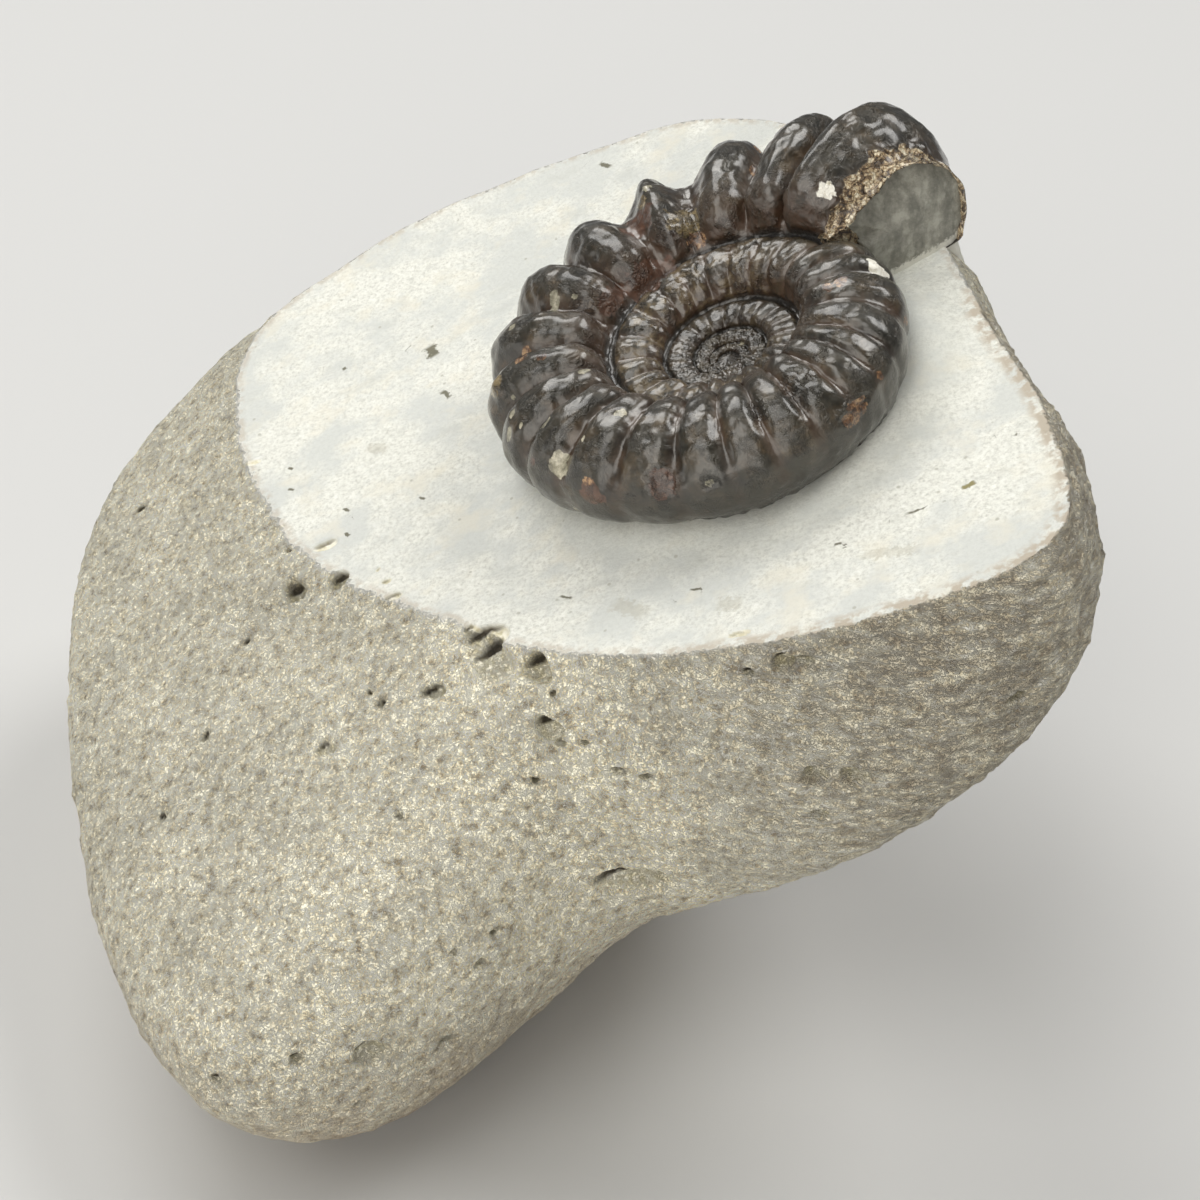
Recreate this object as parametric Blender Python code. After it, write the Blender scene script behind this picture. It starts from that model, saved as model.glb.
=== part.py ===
"""A fossil ammonite on the limestone cobble that it was found in.

Both pieces are described in the frame of the stone's prepared face, in millimetres: x to the right,
y towards the back, z out of the face, and the middle of the coil at the origin. Azimuths run
counter-clockwise from x. The pieces are then leaned into the resting pose, set on the ground and
scaled to metres.
"""
import math

import bmesh
import bpy
import numpy as np
from mathutils import Matrix

MM = 0.001
GAP = 0.3                      # clearance between the shell and the stone

# Resting pose: lean of the prepared face, height of the ground and middle of the footprint,
# both measured from the middle of the coil after leaning
LEAN_LEFT = math.radians(20.2)
LEAN_FRONT = math.radians(10.0)
GROUND = -64.0
MIDDLE_X = -17.5
MIDDLE_Y = 2.1

# Prepared face: a slightly dished oval, given by its rim radius every 15 degrees of azimuth
FACE_CENTRE = (-13.0, 7.0)
FACE_LEVEL = -5.8              # height of the face at its centre
FACE_DISH = 1.3                # how much higher the rim lies
FACE_HALF_LENGTH = 48.0
FACE_HALF_WIDTH = 38.0
COLLAR_RISE = 2.0              # the face rises to the shell on its front and right sides
COLLAR_RADIUS = 16.5
COLLAR_SPREAD = 5.0
COLLAR_SIDES = ((0, 20, 45, 170, 200, 245, 275, 325, 360), (1.0, 1.0, 0.0, 0.0, 1.0, 1.0, 0.3, 0.3, 1.0))
RIM_RADII = (35.0, 34.4, 34.6, 36.5, 39.0, 40.0, 39.4, 39.8, 41.8, 44.3, 46.6, 42.2,
             37.6, 34.4, 32.3, 31.0, 31.2, 33.5, 37.1, 41.5, 47.8, 54.0, 45.8, 38.2)

# Natural outside of the cobble: how far its widest line stands out beyond the rim every 15 degrees,
# and the height of that line every 30 degrees
BULGE = (1.7, 1.9, 2.6, 3.1, 3.0, 3.0, 3.0, 3.1, 3.9, 6.0, 11.8, 19.9,
         25.2, 29.2, 34.6, 41.0, 41.5, 14.1, 7.6, 7.6, 5.5, 0.4, 2.0, 0.4)
WAIST_HEIGHT = (-13.8, -16.0, -17.0, -17.5, -17.0, -14.3, -14.1, -18.3, -20.8, -22.6, -18.0, -11.6)
SHOULDER_SLOPE = 0.75          # steepness at the rim, as a share of the slope down to the widest line
SHOULDER_SPREAD = (1, 2, 3, 2, 1)     # the rim's steepness follows the bulge evened out over its neighbours
WEAR = (0.5, -0.53) * 8        # the natural surface is evened out, then swelled back to its size

# Underside: its rings grow rounder and close round their own centre. Depth below the widest line,
# deeper to the left, and two rounded lobes
UNDER_CENTRE = (-22.0, 4.0)
UNDER_REACH = range(-6, 7)     # neighbours over which the innermost rings are evened out
UNDER_LEVEL = -15.3
UNDER_DEPTH = 23.5
UNDER_TILT = -12.3             # change of depth over 40 mm to the right
UNDER_FULLNESS = 3.0
BELLY = (15.0, -29.0, 4.0, 17.0)      # extra depth, x, y and spread
TOE = (4.6, 6.7, -10.1, 16.0)

# How finely the stone is divided, from the centre of the face to the middle of the underside
STONE_COLUMNS = 72
FACE_RINGS = 7
SHOULDER_RINGS = 6
UNDER_RINGS = 12

# Bored pits of the natural outside: azimuth about the face's centre, height, radius and depth
PITS = ((207.4, -6.2, 1.3, 1.1), (213.1, -5.4, 0.9, 0.7), (234.8, -7.6, 1.0, 0.9), (242.9, -7.4, 1.2, 0.6),
        (250.7, -6.6, 2.6, 0.9), (258.8, -6.4, 1.4, 1.2), (259.2, -9.7, 1.3, 0.9), (289.4, -5.9, 0.8, 0.9),
        (287.3, -14.5, 0.9, 0.9), (290.7, -15.5, 0.9, 0.9), (263.1, -26.0, 2.5, 0.9), (244.7, -22.4, 1.6, 1.1))

# Coil: a logarithmic spiral of whorls that narrow inwards
COIL_RADIUS = 20.0             # middle line of the whorl at the reference azimuth
COIL_REFERENCE = 52.7
WHORL_RATIO = 1.866            # growth in one turn
HALF_WIDTH = 0.416             # across the whorl, as a share of the middle line's radius
HALF_HEIGHT = 0.352
OPENING = 30.8                 # azimuth of the broken end
TURNS = 3.5
STEPS_PER_TURN = 100
SEAM_INNER = math.radians(151.4)      # where a whorl meets the next one inwards
SEAM_OUTER = math.radians(63.7)       # where it is covered by the next one outwards
FOOT = math.radians(-46.0)            # where the outer whorl meets the stone
TUCK = ((150, 190, 270, 310), (1.0, 1.25, 1.25, 1.0))     # the foot is drawn in on the front side
COIL_EYE = (0.1, 0.0, 0.3)            # middle of the innermost whorl
UNDER_MIDDLE = (-2.0, -2.0)
ACROSS_TOP = 5
DOWN_SIDE = 6

# Ribs: crests in degrees of turn back from the broken end, then evenly spaced
RIB_CRESTS = (17, 32.5, 52, 73, 93, 113, 134, 152, 169, 184, 200, 218, 234, 247, 259, 272, 285,
              295, 306, 327, 341, 354, 370, 385, 400, 415, 430, 445, 460, 478, 498, 518, 534, 552,
              578, 593, 610, 625, 640, 654, 672, 690)
INNER_RIB_SPACING = 19.0
# Turn back, rise of the crests, drop of the gaps (shares of the half-width), and crest sharpness
RIB_RELIEF = ((0, 0.10, 0.17, 1.2), (17, 0.27, 0.17, 1.2), (35, 0.14, 0.26, 1.3), (60, 0.02, 0.28, 1.5),
              (150, 0.0, 0.26, 1.4), (185, 0.0, 0.17, 0.8), (240, 0.0, 0.13, 0.6), (300, 0.02, 0.10, 0.9),
              (340, 0.05, 0.09, 1.0), (420, 0.07, 0.09, 1.0), (700, 0.09, 0.11, 1.0))
FIRST_GAP = 31.0               # the rib that broke off lay this far before the first crest

# Sediment in the broken end: the shell's wall there, the depth of the hollow that it fills, and
# its inner lower corner beside the next whorl
WALL = 0.9
FILL_DEPTH = 2.2
FILL_RECESS = 0.4
FILL_TURN = math.radians(143.0)
FILL_CORNER = ((18.2, -9.0), (17.6, -3.0), (17.0, 0.0))
FILL_STEPS = 12

STONE_COLOUR = (0.46, 0.44, 0.39)
SHELL_COLOUR = (0.075, 0.055, 0.045)


def ring_value(values, azimuth):
    """Smooth closed curve through values that are evenly spaced round the circle."""
    values = np.asarray(values, float)
    count = len(values)
    place = azimuth / (2 * math.pi) * count
    first = np.floor(place).astype(int)
    t = place - first
    a, b, c, d = (values[(first + k) % count] for k in (-1, 0, 1, 2))
    return b + 0.5 * t * (c - a + t * (2 * a - 5 * b + 4 * c - d + t * (3 * (b - c) + d - a)))


def face_height(x, y):
    """Height of the prepared face."""
    across = ((x - FACE_CENTRE[0]) / FACE_HALF_LENGTH) ** 2 + ((y - FACE_CENTRE[1]) / FACE_HALF_WIDTH) ** 2
    outside = np.maximum(np.hypot(x, y) - COLLAR_RADIUS, 0.0) / COLLAR_SPREAD
    side = np.interp(np.degrees(np.arctan2(y, x)) % 360.0, *COLLAR_SIDES)
    return FACE_LEVEL + FACE_DISH * across ** 1.5 + COLLAR_RISE * side * np.exp(-outside ** 2)


def lobe(x, y, depth, middle_x, middle_y, spread):
    """A rounded extra depth."""
    return depth * np.exp(-((x - middle_x) ** 2 + (y - middle_y) ** 2) / (2 * spread ** 2))


def under_depth(x, y):
    """Depth of the underside below the widest line."""
    slope = UNDER_DEPTH + UNDER_TILT * (x - FACE_CENTRE[0]) / 40.0
    return slope + lobe(x, y, *BELLY) + lobe(x, y, *TOE)


def stone_rings(azimuths, face_rings, shoulder_rings, under_rings):
    """Rings of points from the centre of the face over the rim and down to the middle of the underside."""
    out_x, out_y = np.cos(azimuths), np.sin(azimuths)
    rim = ring_value(RIM_RADII, azimuths)
    widest = rim + ring_value(BULGE, azimuths)
    outline = np.add(RIM_RADII, BULGE)
    rounded = ring_value(sum(np.roll(outline, k) for k in UNDER_REACH) / len(UNDER_REACH), azimuths)
    waist = ring_value(WAIST_HEIGHT, azimuths)

    def ring(radius, height=None, shift=0.0):
        x = FACE_CENTRE[0] + shift * (UNDER_CENTRE[0] - FACE_CENTRE[0]) + out_x * radius
        y = FACE_CENTRE[1] + shift * (UNDER_CENTRE[1] - FACE_CENTRE[1]) + out_y * radius
        return np.stack([x, y, face_height(x, y) if height is None else height], axis=-1)

    rings = [ring(rim * k / face_rings) for k in range(face_rings)]
    rim_height = ring(rim)[:, 2]
    drop = rim_height - waist
    spread = np.array(SHOULDER_SPREAD) / sum(SHOULDER_SPREAD)
    evened = sum(w * np.roll(BULGE, k - len(spread) // 2) for k, w in enumerate(spread))
    bulge = ring_value(evened, azimuths)
    reach = np.hypot(drop, bulge)
    slope = np.arctan2(drop, bulge) * SHOULDER_SLOPE
    for k in range(shoulder_rings):
        t = k / shoulder_rings
        near, first, second, far = (1 - t) ** 3, 3 * t * (1 - t) ** 2, 3 * t * t * (1 - t), t ** 3
        radius = near * rim + first * (rim + 0.4 * reach * np.cos(slope)) + (second + far) * widest
        height = (near * rim_height + first * (rim_height - 0.4 * reach * np.sin(slope))
                  + second * (waist + 0.45 * drop) + far * waist)
        rings.append(ring(radius, height))
    for k in range(under_rings + 1):
        share = math.cos(k / under_rings * math.pi / 2)
        radius = share * (share * widest + (1 - share) * rounded)
        flat = ring(radius, waist, 1 - share)
        level = waist * share ** 2 + UNDER_LEVEL * (1 - share ** 2)
        fall = under_depth(flat[:, 0], flat[:, 1]) * math.sqrt(1 - share ** UNDER_FULLNESS)
        rings.append(ring(radius, level - fall, 1 - share))
    return rings


def wear(rows, first):
    """Evens out the rings from the given one down, each point towards the middle of its neighbours."""
    rows = np.array(rows)
    for strength in WEAR:
        around = (np.roll(rows, 1, axis=1) + np.roll(rows, -1, axis=1)) / 2
        along = (rows[:-2] + rows[2:]) / 2
        rows[first:-1] += strength * ((around[first:-1] + along[first - 1:]) / 2 - rows[first:-1])
    return rows


def to_world(points):
    """Leans points of the face's frame into the resting pose, in metres."""
    left, front = -LEAN_LEFT, LEAN_FRONT
    turn_y = np.array([[math.cos(left), 0, math.sin(left)], [0, 1, 0], [-math.sin(left), 0, math.cos(left)]])
    turn_x = np.array([[1, 0, 0], [0, math.cos(front), -math.sin(front)], [0, math.sin(front), math.cos(front)]])
    leaned = np.asarray(points, float) @ (turn_x @ turn_y).T
    return (leaned - np.array([MIDDLE_X, MIDDLE_Y, GROUND])) * MM


def principled(name, colour, roughness, metallic=0.0):
    """One material for one piece."""
    material = bpy.data.materials.new(name)
    material.use_nodes = True
    shader = material.node_tree.nodes["Principled BSDF"]
    shader.inputs["Base Color"].default_value = (*colour, 1.0)
    shader.inputs["Roughness"].default_value = roughness
    shader.inputs["Metallic"].default_value = metallic
    return material


def mesh_object(name, points, faces, material=None, smooth_angle=40.0):
    """One closed mesh, with its faces turned outwards."""
    mesh = bpy.data.meshes.new(name)
    mesh.from_pydata([tuple(p) for p in points], [], faces)
    work = bmesh.new()
    work.from_mesh(mesh)
    bmesh.ops.triangulate(work, faces=work.faces[:])
    bmesh.ops.recalc_face_normals(work, faces=work.faces[:])
    if work.calc_volume(signed=True) < 0:
        bmesh.ops.reverse_faces(work, faces=work.faces[:])
    work.to_mesh(mesh)
    work.free()
    mesh.shade_smooth()
    mesh.set_sharp_from_angle(angle=math.radians(smooth_angle))
    piece = bpy.data.objects.new(name, mesh)
    bpy.context.scene.collection.objects.link(piece)
    if material:
        mesh.materials.append(material)
    return piece


def guide(piece):
    """Marks a shape that only cuts or adds to another."""
    piece.hide_render = True
    piece.display_type = "WIRE"
    return piece


def combine(piece, other, operation):
    """Cuts the other shape from the piece, or joins it on."""
    modifier = piece.modifiers.new(other.name, "BOOLEAN")
    modifier.operation = operation
    modifier.solver = "EXACT"
    modifier.object = other


def grid_faces(rows, columns):
    """Quads between closed rings, which run round in the same direction."""
    faces = []
    for i in range(rows - 1):
        for j in range(columns):
            k = (j + 1) % columns
            faces.append((i * columns + j, i * columns + k, (i + 1) * columns + k, (i + 1) * columns + j))
    return faces


def side_point(rows, azimuth, height):
    """A point of the natural surface, by its azimuth about the face's centre and its height."""
    columns = rows.shape[1]
    place = azimuth / 360.0 * columns
    j = int(place) % columns
    column = rows[:, j] + (place - int(place)) * (rows[:, (j + 1) % columns] - rows[:, j])
    column = column[np.argmax(column[:, 2]):]
    return np.array([np.interp(-height, -column[:, 2], column[:, k]) for k in range(3)])


def pit_cutter(rows):
    """All the bored pits as small balls that sink into the surface."""
    work = bmesh.new()
    for azimuth, height, radius, depth in PITS:
        spot = side_point(rows, azimuth, height)
        nearby = [side_point(rows, azimuth + a, height + h) for a, h in ((1.5, 0), (-1.5, 0), (0, 1), (0, -1))]
        outward = np.cross(nearby[0] - nearby[1], nearby[2] - nearby[3])
        outward /= np.linalg.norm(outward)
        ball = (radius ** 2 + depth ** 2) / (2 * depth)
        middle = to_world([spot + outward * (ball - depth)])[0]
        bmesh.ops.create_icosphere(work, subdivisions=2, radius=ball * MM, matrix=Matrix.Translation(middle))
    mesh = bpy.data.meshes.new("pit_shapes")
    work.to_mesh(mesh)
    work.free()
    piece = bpy.data.objects.new("pit_shapes", mesh)
    bpy.context.scene.collection.objects.link(piece)
    return guide(piece)


def make_stone(material):
    """The cobble, with its prepared face, its flat resting spot, its pits and the fill of the shell."""
    azimuths = np.linspace(0, 2 * math.pi, STONE_COLUMNS, endpoint=False)
    rows = wear(stone_rings(azimuths, FACE_RINGS, SHOULDER_RINGS, UNDER_RINGS), FACE_RINGS + 1)
    points = to_world(np.concatenate([*rows[1:-1], rows[0][:1], rows[-1][:1]]))
    points[:, 2] = np.maximum(points[:, 2], 0.0)
    faces = grid_faces(len(rows) - 2, STONE_COLUMNS)
    crown = len(points) - 2
    last = (len(rows) - 3) * STONE_COLUMNS
    for j in range(STONE_COLUMNS):
        k = (j + 1) % STONE_COLUMNS
        faces.append((crown, k, j))
        faces.append((crown + 1, last + j, last + k))
    stone = mesh_object("matrix_stone", points, faces, material)
    combine(stone, pit_cutter(rows), "DIFFERENCE")
    combine(stone, guide(end_prism("chamber_fill", WALL + GAP, FILL_RECESS, FILL_DEPTH - GAP)), "UNION")
    return stone


def half_width_gain(back):
    """The whorl is a little stouter on its right side."""
    return 1.0 + 0.05 * np.exp(-((back - 300.0) / 45.0) ** 2)


def coil(back):
    """Azimuth in radians and middle radius, for a turn back from the broken end in degrees."""
    azimuth = np.radians(OPENING + back)
    turns = (OPENING + back - COIL_REFERENCE) / 360.0
    return azimuth, COIL_RADIUS * WHORL_RATIO ** -turns


def rib_relief(back, angle):
    """How far the ribs raise or lower the whorl's surface, as a share of its half-width."""
    crests = list(RIB_CRESTS)
    crests.insert(0, crests[0] - FIRST_GAP)
    while crests[-1] < 360 * (TURNS + 1):
        crests.append(crests[-1] + INNER_RIB_SPACING)
    crests = np.array(crests)
    k = np.clip(np.searchsorted(crests, back, side="right") - 1, 0, len(crests) - 2)
    place = (back - crests[k]) / (crests[k + 1] - crests[k])
    table = np.array(RIB_RELIEF)
    rise, drop, sharp = (np.interp(back, table[:, 0], table[:, c]) for c in (1, 2, 3))
    wave = (0.5 + 0.5 * np.cos(2 * math.pi * place)) ** sharp
    degrees = np.degrees(angle)
    across = np.interp(degrees, [-60, -20, 20, 50, 80, 110, 140, 152], [0.5, 0.8, 1.0, 1.15, 1.0, 0.85, 0.4, 0.0])
    worn = np.interp(back, [160, 190, 290, 320], [0, 1, 1, 0]) * np.interp(degrees, [20, 55], [0.75, 0.0])
    return (-drop + (rise + drop) * wave) * across * (1 - worn)


def whorl_point(back, angle):
    """A point of the shell's surface, at an angle round the whorl from its outer side upwards."""
    azimuth, middle = coil(back)
    half = HALF_WIDTH * middle * half_width_gain(back)
    swell = 1.0 + rib_relief(back, angle)
    turned = angle if angle >= 0 else angle * np.interp(back, *TUCK)
    radius = middle + half * swell * np.cos(turned)
    x, y = radius * np.cos(azimuth), radius * np.sin(azimuth)
    if angle >= 0:
        height = HALF_HEIGHT * middle * swell * np.sin(angle)
    else:
        height = (face_height(x, y) + GAP) * np.sin(angle) / math.sin(FOOT)
    return np.array([x, y, height])


def end_prism(name, inset, near, far):
    """A prism on the outline of the broken end, drawn in by inset, between two depths into the shell."""
    azimuth, middle = coil(0.0)
    along = np.array([math.cos(azimuth), math.sin(azimuth), 0.0])
    inward = np.array([-math.sin(azimuth), math.cos(azimuth), 0.0])
    outline = []
    for k in range(FILL_STEPS + 1):
        angle = FILL_TURN + (FOOT - FILL_TURN) * k / FILL_STEPS
        point = whorl_point(0.0, angle)
        radius = point @ along - inset * math.cos(angle)
        outline.append((radius, point[2] - inset * max(math.sin(angle), 0.0)))
    outline.append((outline[-1][0], FILL_CORNER[0][1]))
    outline += [(radius + inset - WALL, height) for radius, height in FILL_CORNER]
    points = [along * radius + inward * depth + np.array([0.0, 0.0, height])
              for depth in (near, far) for radius, height in outline]
    count = len(outline)
    faces = grid_faces(2, count) + [tuple(range(count)), tuple(range(2 * count - 1, count - 1, -1))]
    return mesh_object(name, to_world(points), faces)


def make_shell(material):
    """The coil as one closed skin: the strip of each whorl that shows, the outer side and the underside."""
    step = 360.0 / STEPS_PER_TURN
    columns = round(TURNS * STEPS_PER_TURN)
    points = []
    index = {}

    def add(key, point):
        index[key] = len(points)
        points.append(point)

    for i in range(columns + 1):
        for j in range(1, ACROSS_TOP + 1):
            angle = SEAM_INNER + (SEAM_OUTER - SEAM_INNER) * j / ACROSS_TOP
            add((i, j), whorl_point(i * step, angle))
        if i + STEPS_PER_TURN > columns:
            add((i, 0), whorl_point(i * step, SEAM_INNER))
    for i in range(columns + 1 - STEPS_PER_TURN):
        index[(i, 0)] = index[(i + STEPS_PER_TURN, ACROSS_TOP)]
    for i in range(STEPS_PER_TURN + 1):
        for j in range(1, DOWN_SIDE + 1):
            angle = SEAM_OUTER + (FOOT - SEAM_OUTER) * j / DOWN_SIDE
            add((i, ACROSS_TOP + j), whorl_point(i * step, angle))

    def strip(first, last, low, high):
        return [(index[(i, j)], index[(i, j + 1)], index[(i + 1, j + 1)], index[(i + 1, j)])
                for i in range(first, last) for j in range(low, high)]

    side = ACROSS_TOP + DOWN_SIDE
    faces = strip(0, columns, 0, ACROSS_TOP) + strip(0, STEPS_PER_TURN, ACROSS_TOP, side)

    def fan(middle, loop):
        add(middle, np.array(middle))
        loop = [index[key] for key in loop]
        faces.extend((index[middle], a, b) for a, b in zip(loop, loop[1:] + loop[:1]))

    # The centre of the coil and the broken end
    inner = [(i, 0) for i in range(columns - STEPS_PER_TURN, columns + 1)]
    fan(COIL_EYE, inner + [(columns, j) for j in range(1, ACROSS_TOP)])
    azimuth, middle = coil(0.0)
    end = [(0, j) for j in range(side + 1)]
    back_side = [(STEPS_PER_TURN, ACROSS_TOP + j) for j in range(DOWN_SIDE, 0, -1)]
    fan((middle * math.cos(azimuth), middle * math.sin(azimuth), 0.0), end + back_side)

    # The underside follows the face of the stone
    under = [(i, side) for i in range(2 * STEPS_PER_TURN + 1)]
    for key in under[STEPS_PER_TURN + 1:]:
        add(key, whorl_point(key[0] * step, FOOT))
    for i in range(STEPS_PER_TURN):
        ring = [under[k] for k in (i, i + 1, i + 1 + STEPS_PER_TURN, i + STEPS_PER_TURN)]
        faces.append(tuple(index[key] for key in ring))
    fan((*UNDER_MIDDLE, float(face_height(*UNDER_MIDDLE)) + GAP), under[STEPS_PER_TURN:])

    shell = mesh_object("ammonite", to_world(points), faces, material, smooth_angle=50.0)
    combine(shell, guide(end_prism("chamber_hollow", WALL, -FILL_DEPTH, FILL_DEPTH)), "DIFFERENCE")
    return shell


def main():
    for old in list(bpy.data.objects):
        bpy.data.objects.remove(old, do_unlink=True)
    stone = make_stone(principled("grey_limestone", STONE_COLOUR, 0.9))
    shell = make_shell(principled("brown_calcite", SHELL_COLOUR, 0.3))
    return stone, shell


main()
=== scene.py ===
"""The looks of a fossil ammonite on its limestone cobble.

The shapes are worked out in the frame of the stone's prepared face, in millimetres: x to the right,
y towards the back, z out of the face, and the middle of the coil at the origin. to_world leans them
into the resting pose of the CAD model and scales them to metres.
"""
import math

import bmesh
import bpy
import numpy as np
from mathutils import Matrix, Vector, noise
from mathutils.bvhtree import BVHTree


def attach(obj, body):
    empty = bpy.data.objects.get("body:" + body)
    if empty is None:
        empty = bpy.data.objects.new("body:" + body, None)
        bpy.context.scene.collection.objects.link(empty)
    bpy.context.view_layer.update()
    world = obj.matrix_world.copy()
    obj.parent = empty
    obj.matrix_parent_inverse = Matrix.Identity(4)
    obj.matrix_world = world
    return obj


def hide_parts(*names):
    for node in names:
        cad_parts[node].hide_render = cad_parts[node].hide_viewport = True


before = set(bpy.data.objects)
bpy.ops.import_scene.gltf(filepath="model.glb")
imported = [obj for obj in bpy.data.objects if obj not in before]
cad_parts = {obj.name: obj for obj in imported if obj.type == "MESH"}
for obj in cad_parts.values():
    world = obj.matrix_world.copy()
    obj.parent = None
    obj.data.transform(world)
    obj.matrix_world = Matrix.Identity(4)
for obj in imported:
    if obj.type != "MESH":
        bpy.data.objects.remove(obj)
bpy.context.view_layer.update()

MM = 0.001

# Camera, in the frame of the prepared face
CAMERA_PLACE = np.array([32.56, -157.97, 120.95])
CAMERA_RIGHT = np.array([0.9386, 0.0, -0.345])
CAMERA_UP = np.array([0.2448, 0.7046, 0.666])
FOCAL_PIXELS = 2200.0
PICTURE = 1200.0
SENSOR = 36.0

# Resting pose, as in the CAD model
LEAN_LEFT = math.radians(20.2)
LEAN_FRONT = math.radians(10.0)
GROUND = -64.0
MIDDLE_X = -17.5
MIDDLE_Y = 2.1

# Prepared face
FACE_CENTRE = (-13.0, 7.0)
FACE_LEVEL = -5.8
FACE_DISH = 1.3
FACE_HALF_LENGTH = 48.0
FACE_HALF_WIDTH = 38.0
COLLAR_RISE = 2.0
COLLAR_RADIUS = 16.5
COLLAR_SPREAD = 5.0
COLLAR_SIDES = ((0, 20, 45, 170, 200, 245, 275, 325, 360), (1.0, 1.0, 0.0, 0.0, 1.0, 1.0, 0.3, 0.3, 1.0))
RIM_RADII = (35.0, 34.4, 34.6, 36.5, 39.0, 40.0, 39.4, 39.8, 41.8, 44.3, 46.6, 42.2,
             37.6, 34.4, 32.3, 31.0, 31.2, 33.5, 37.1, 41.5, 47.8, 54.0, 45.8, 38.2)

# Natural outside of the cobble
BULGE = (1.7, 1.9, 2.6, 3.1, 3.0, 3.0, 3.0, 3.1, 3.9, 6.0, 11.8, 19.9,
         25.2, 29.2, 34.6, 41.0, 41.5, 14.1, 7.6, 7.6, 5.5, 0.4, 2.0, 0.4)
WAIST_HEIGHT = (-13.8, -16.0, -17.0, -17.5, -17.0, -14.3, -14.1, -18.3, -20.8, -22.6, -18.0, -11.6)
SHOULDER_SLOPE = 0.75
SHOULDER_SPREAD = (1, 2, 3, 2, 1)
WEAR = (0.5, -0.53) * 8
UNDER_CENTRE = (-22.0, 4.0)
UNDER_REACH = range(-6, 7)
UNDER_LEVEL = -15.3
UNDER_DEPTH = 23.5
UNDER_TILT = -12.3
UNDER_FULLNESS = 3.0
BELLY = (15.0, -29.0, 4.0, 17.0)
TOE = (4.6, 6.7, -10.1, 16.0)
STONE_COLUMNS = 72
FACE_RINGS = 7
SHOULDER_RINGS = 6
UNDER_RINGS = 12
STONE_ROWS = FACE_RINGS + SHOULDER_RINGS + UNDER_RINGS + 1

# Coil
COIL_RADIUS = 20.0
COIL_REFERENCE = 52.7
WHORL_RATIO = 1.866
HALF_WIDTH = 0.416
HALF_HEIGHT = 0.352
OPENING = 30.8
SEAM_INNER = math.radians(151.4)
SEAM_OUTER = math.radians(63.7)
FOOT = math.radians(-46.0)
TUCK = ((150, 190, 270, 310), (1.0, 1.25, 1.25, 1.0))
RIB_CRESTS = (17, 32.5, 52, 73, 93, 113, 134, 152, 169, 184, 200, 218, 234, 247, 259, 272, 285,
              295, 306, 327, 341, 354, 370, 385, 400, 415, 430, 445, 460, 478, 498, 518, 534, 552,
              578, 593, 610, 625, 640, 654, 672, 690)
INNER_RIB_SPACING = 19.0
RIB_RELIEF = ((0, 0.10, 0.17, 1.2), (17, 0.27, 0.17, 1.2), (35, 0.14, 0.26, 1.3), (60, 0.02, 0.28, 1.5),
              (150, 0.0, 0.26, 1.4), (185, 0.0, 0.17, 0.8), (240, 0.0, 0.13, 0.6), (300, 0.02, 0.10, 0.9),
              (340, 0.05, 0.09, 1.0), (420, 0.07, 0.09, 1.0), (700, 0.09, 0.11, 1.0))
FIRST_GAP = 31.0
FILL_TURN = math.radians(143.0)
FILL_CORNER = ((18.2, -9.0), (17.6, -3.0), (17.0, 0.0))

# How finely the shell is divided here: it has half a turn more than the CAD model shows in its eye
SHELL_TURNS = 4.75
STEPS_PER_TURN = 480
ACROSS_TOP = 32
DOWN_SIDE = 40
FOOT_SINK = -0.25              # the foot dips this far into the stone
SEAM_CUT = 0.85                # extra depth of the seam between two whorls, and its half width
SEAM_REACH = 0.55
UNDER_MIDDLE = (-2.0, -2.0)

# Broken end: columns over which its uneven edge is evened out, rings of its bevel, how far its hidden
# part goes back in degrees, and, by angle round the whorl, the edge's degrees back and the wall's thickness
BREAK_COLUMNS = 40
BREAK_RINGS = 8
BREAK_BACK = 6.0
BREAK_LINE = ((-46, 0, 25, 50, 80, 115, 151), (0.2, 0.5, 2.0, 4.6, 6.3, 5.6, 4.4))
BREAK_WALL = ((-46, 20, 60, 80, 100, 151), (0.4, 0.4, 0.45, 0.7, 1.4, 1.7))

# Ribs, by turn back in degrees: how much they are broadened to flat-topped blocks with narrow gaps, how
# strong they are, and where they are worn; and their strength by angle round the whorl
RIB_GAP = 0.15
RIB_BREADTH = ((0, 30, 55, 66, 80, 90, 130, 170, 300, 360, 460, 800),
               (0.6, 0.75, 0.6, 0.0, 0.0, 0.5, 0.7, 0.85, 0.8, 0.55, 0.5, 0.3))
RIB_STRENGTH = ((0, 355, 375, 455, 490, 620, 660, 730, 900), (1.1, 1.1, 0.35, 0.35, 1.0, 1.0, 0.6, 0.5, 0.3))
RIB_WORN = ((160, 190, 290, 320), (0, 1, 1, 0))
RIB_ACROSS = ((-60, -20, 20, 50, 80, 110, 140, 152), (0.5, 0.8, 1.0, 1.15, 1.0, 0.85, 0.4, 0.0))

# The eye of the coil lies deeper than in the CAD model: by turn back, in millimetres
EYE_DROP = ((340, 400, 520, 700, 1100), (0.0, 0.45, 1.1, 1.5, 1.5))

# The whorl's inner shoulder stands out: share of its radius, and angle and spread in degrees
SHOULDER_RISE = 0.036
SHOULDER_PLACE = 126.0
SHOULDER_WIDTH = 13.0

GROWTH_STRETCH = (1.0, 0.12, 0.3)    # lines along the growth are drawn out round the whorl

# The sediment in the broken end: points round it, rings over its front and behind it, and its places
# in millimetres inwards from the broken end
FILL_ROUND = 200
FILL_FRONT_RINGS = 34
FILL_BACK_RINGS = 4
FILL_FRONT = 0.3
FILL_BACK = (0.9, 1.9)
FILL_OVERLAP = 0.22

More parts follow.
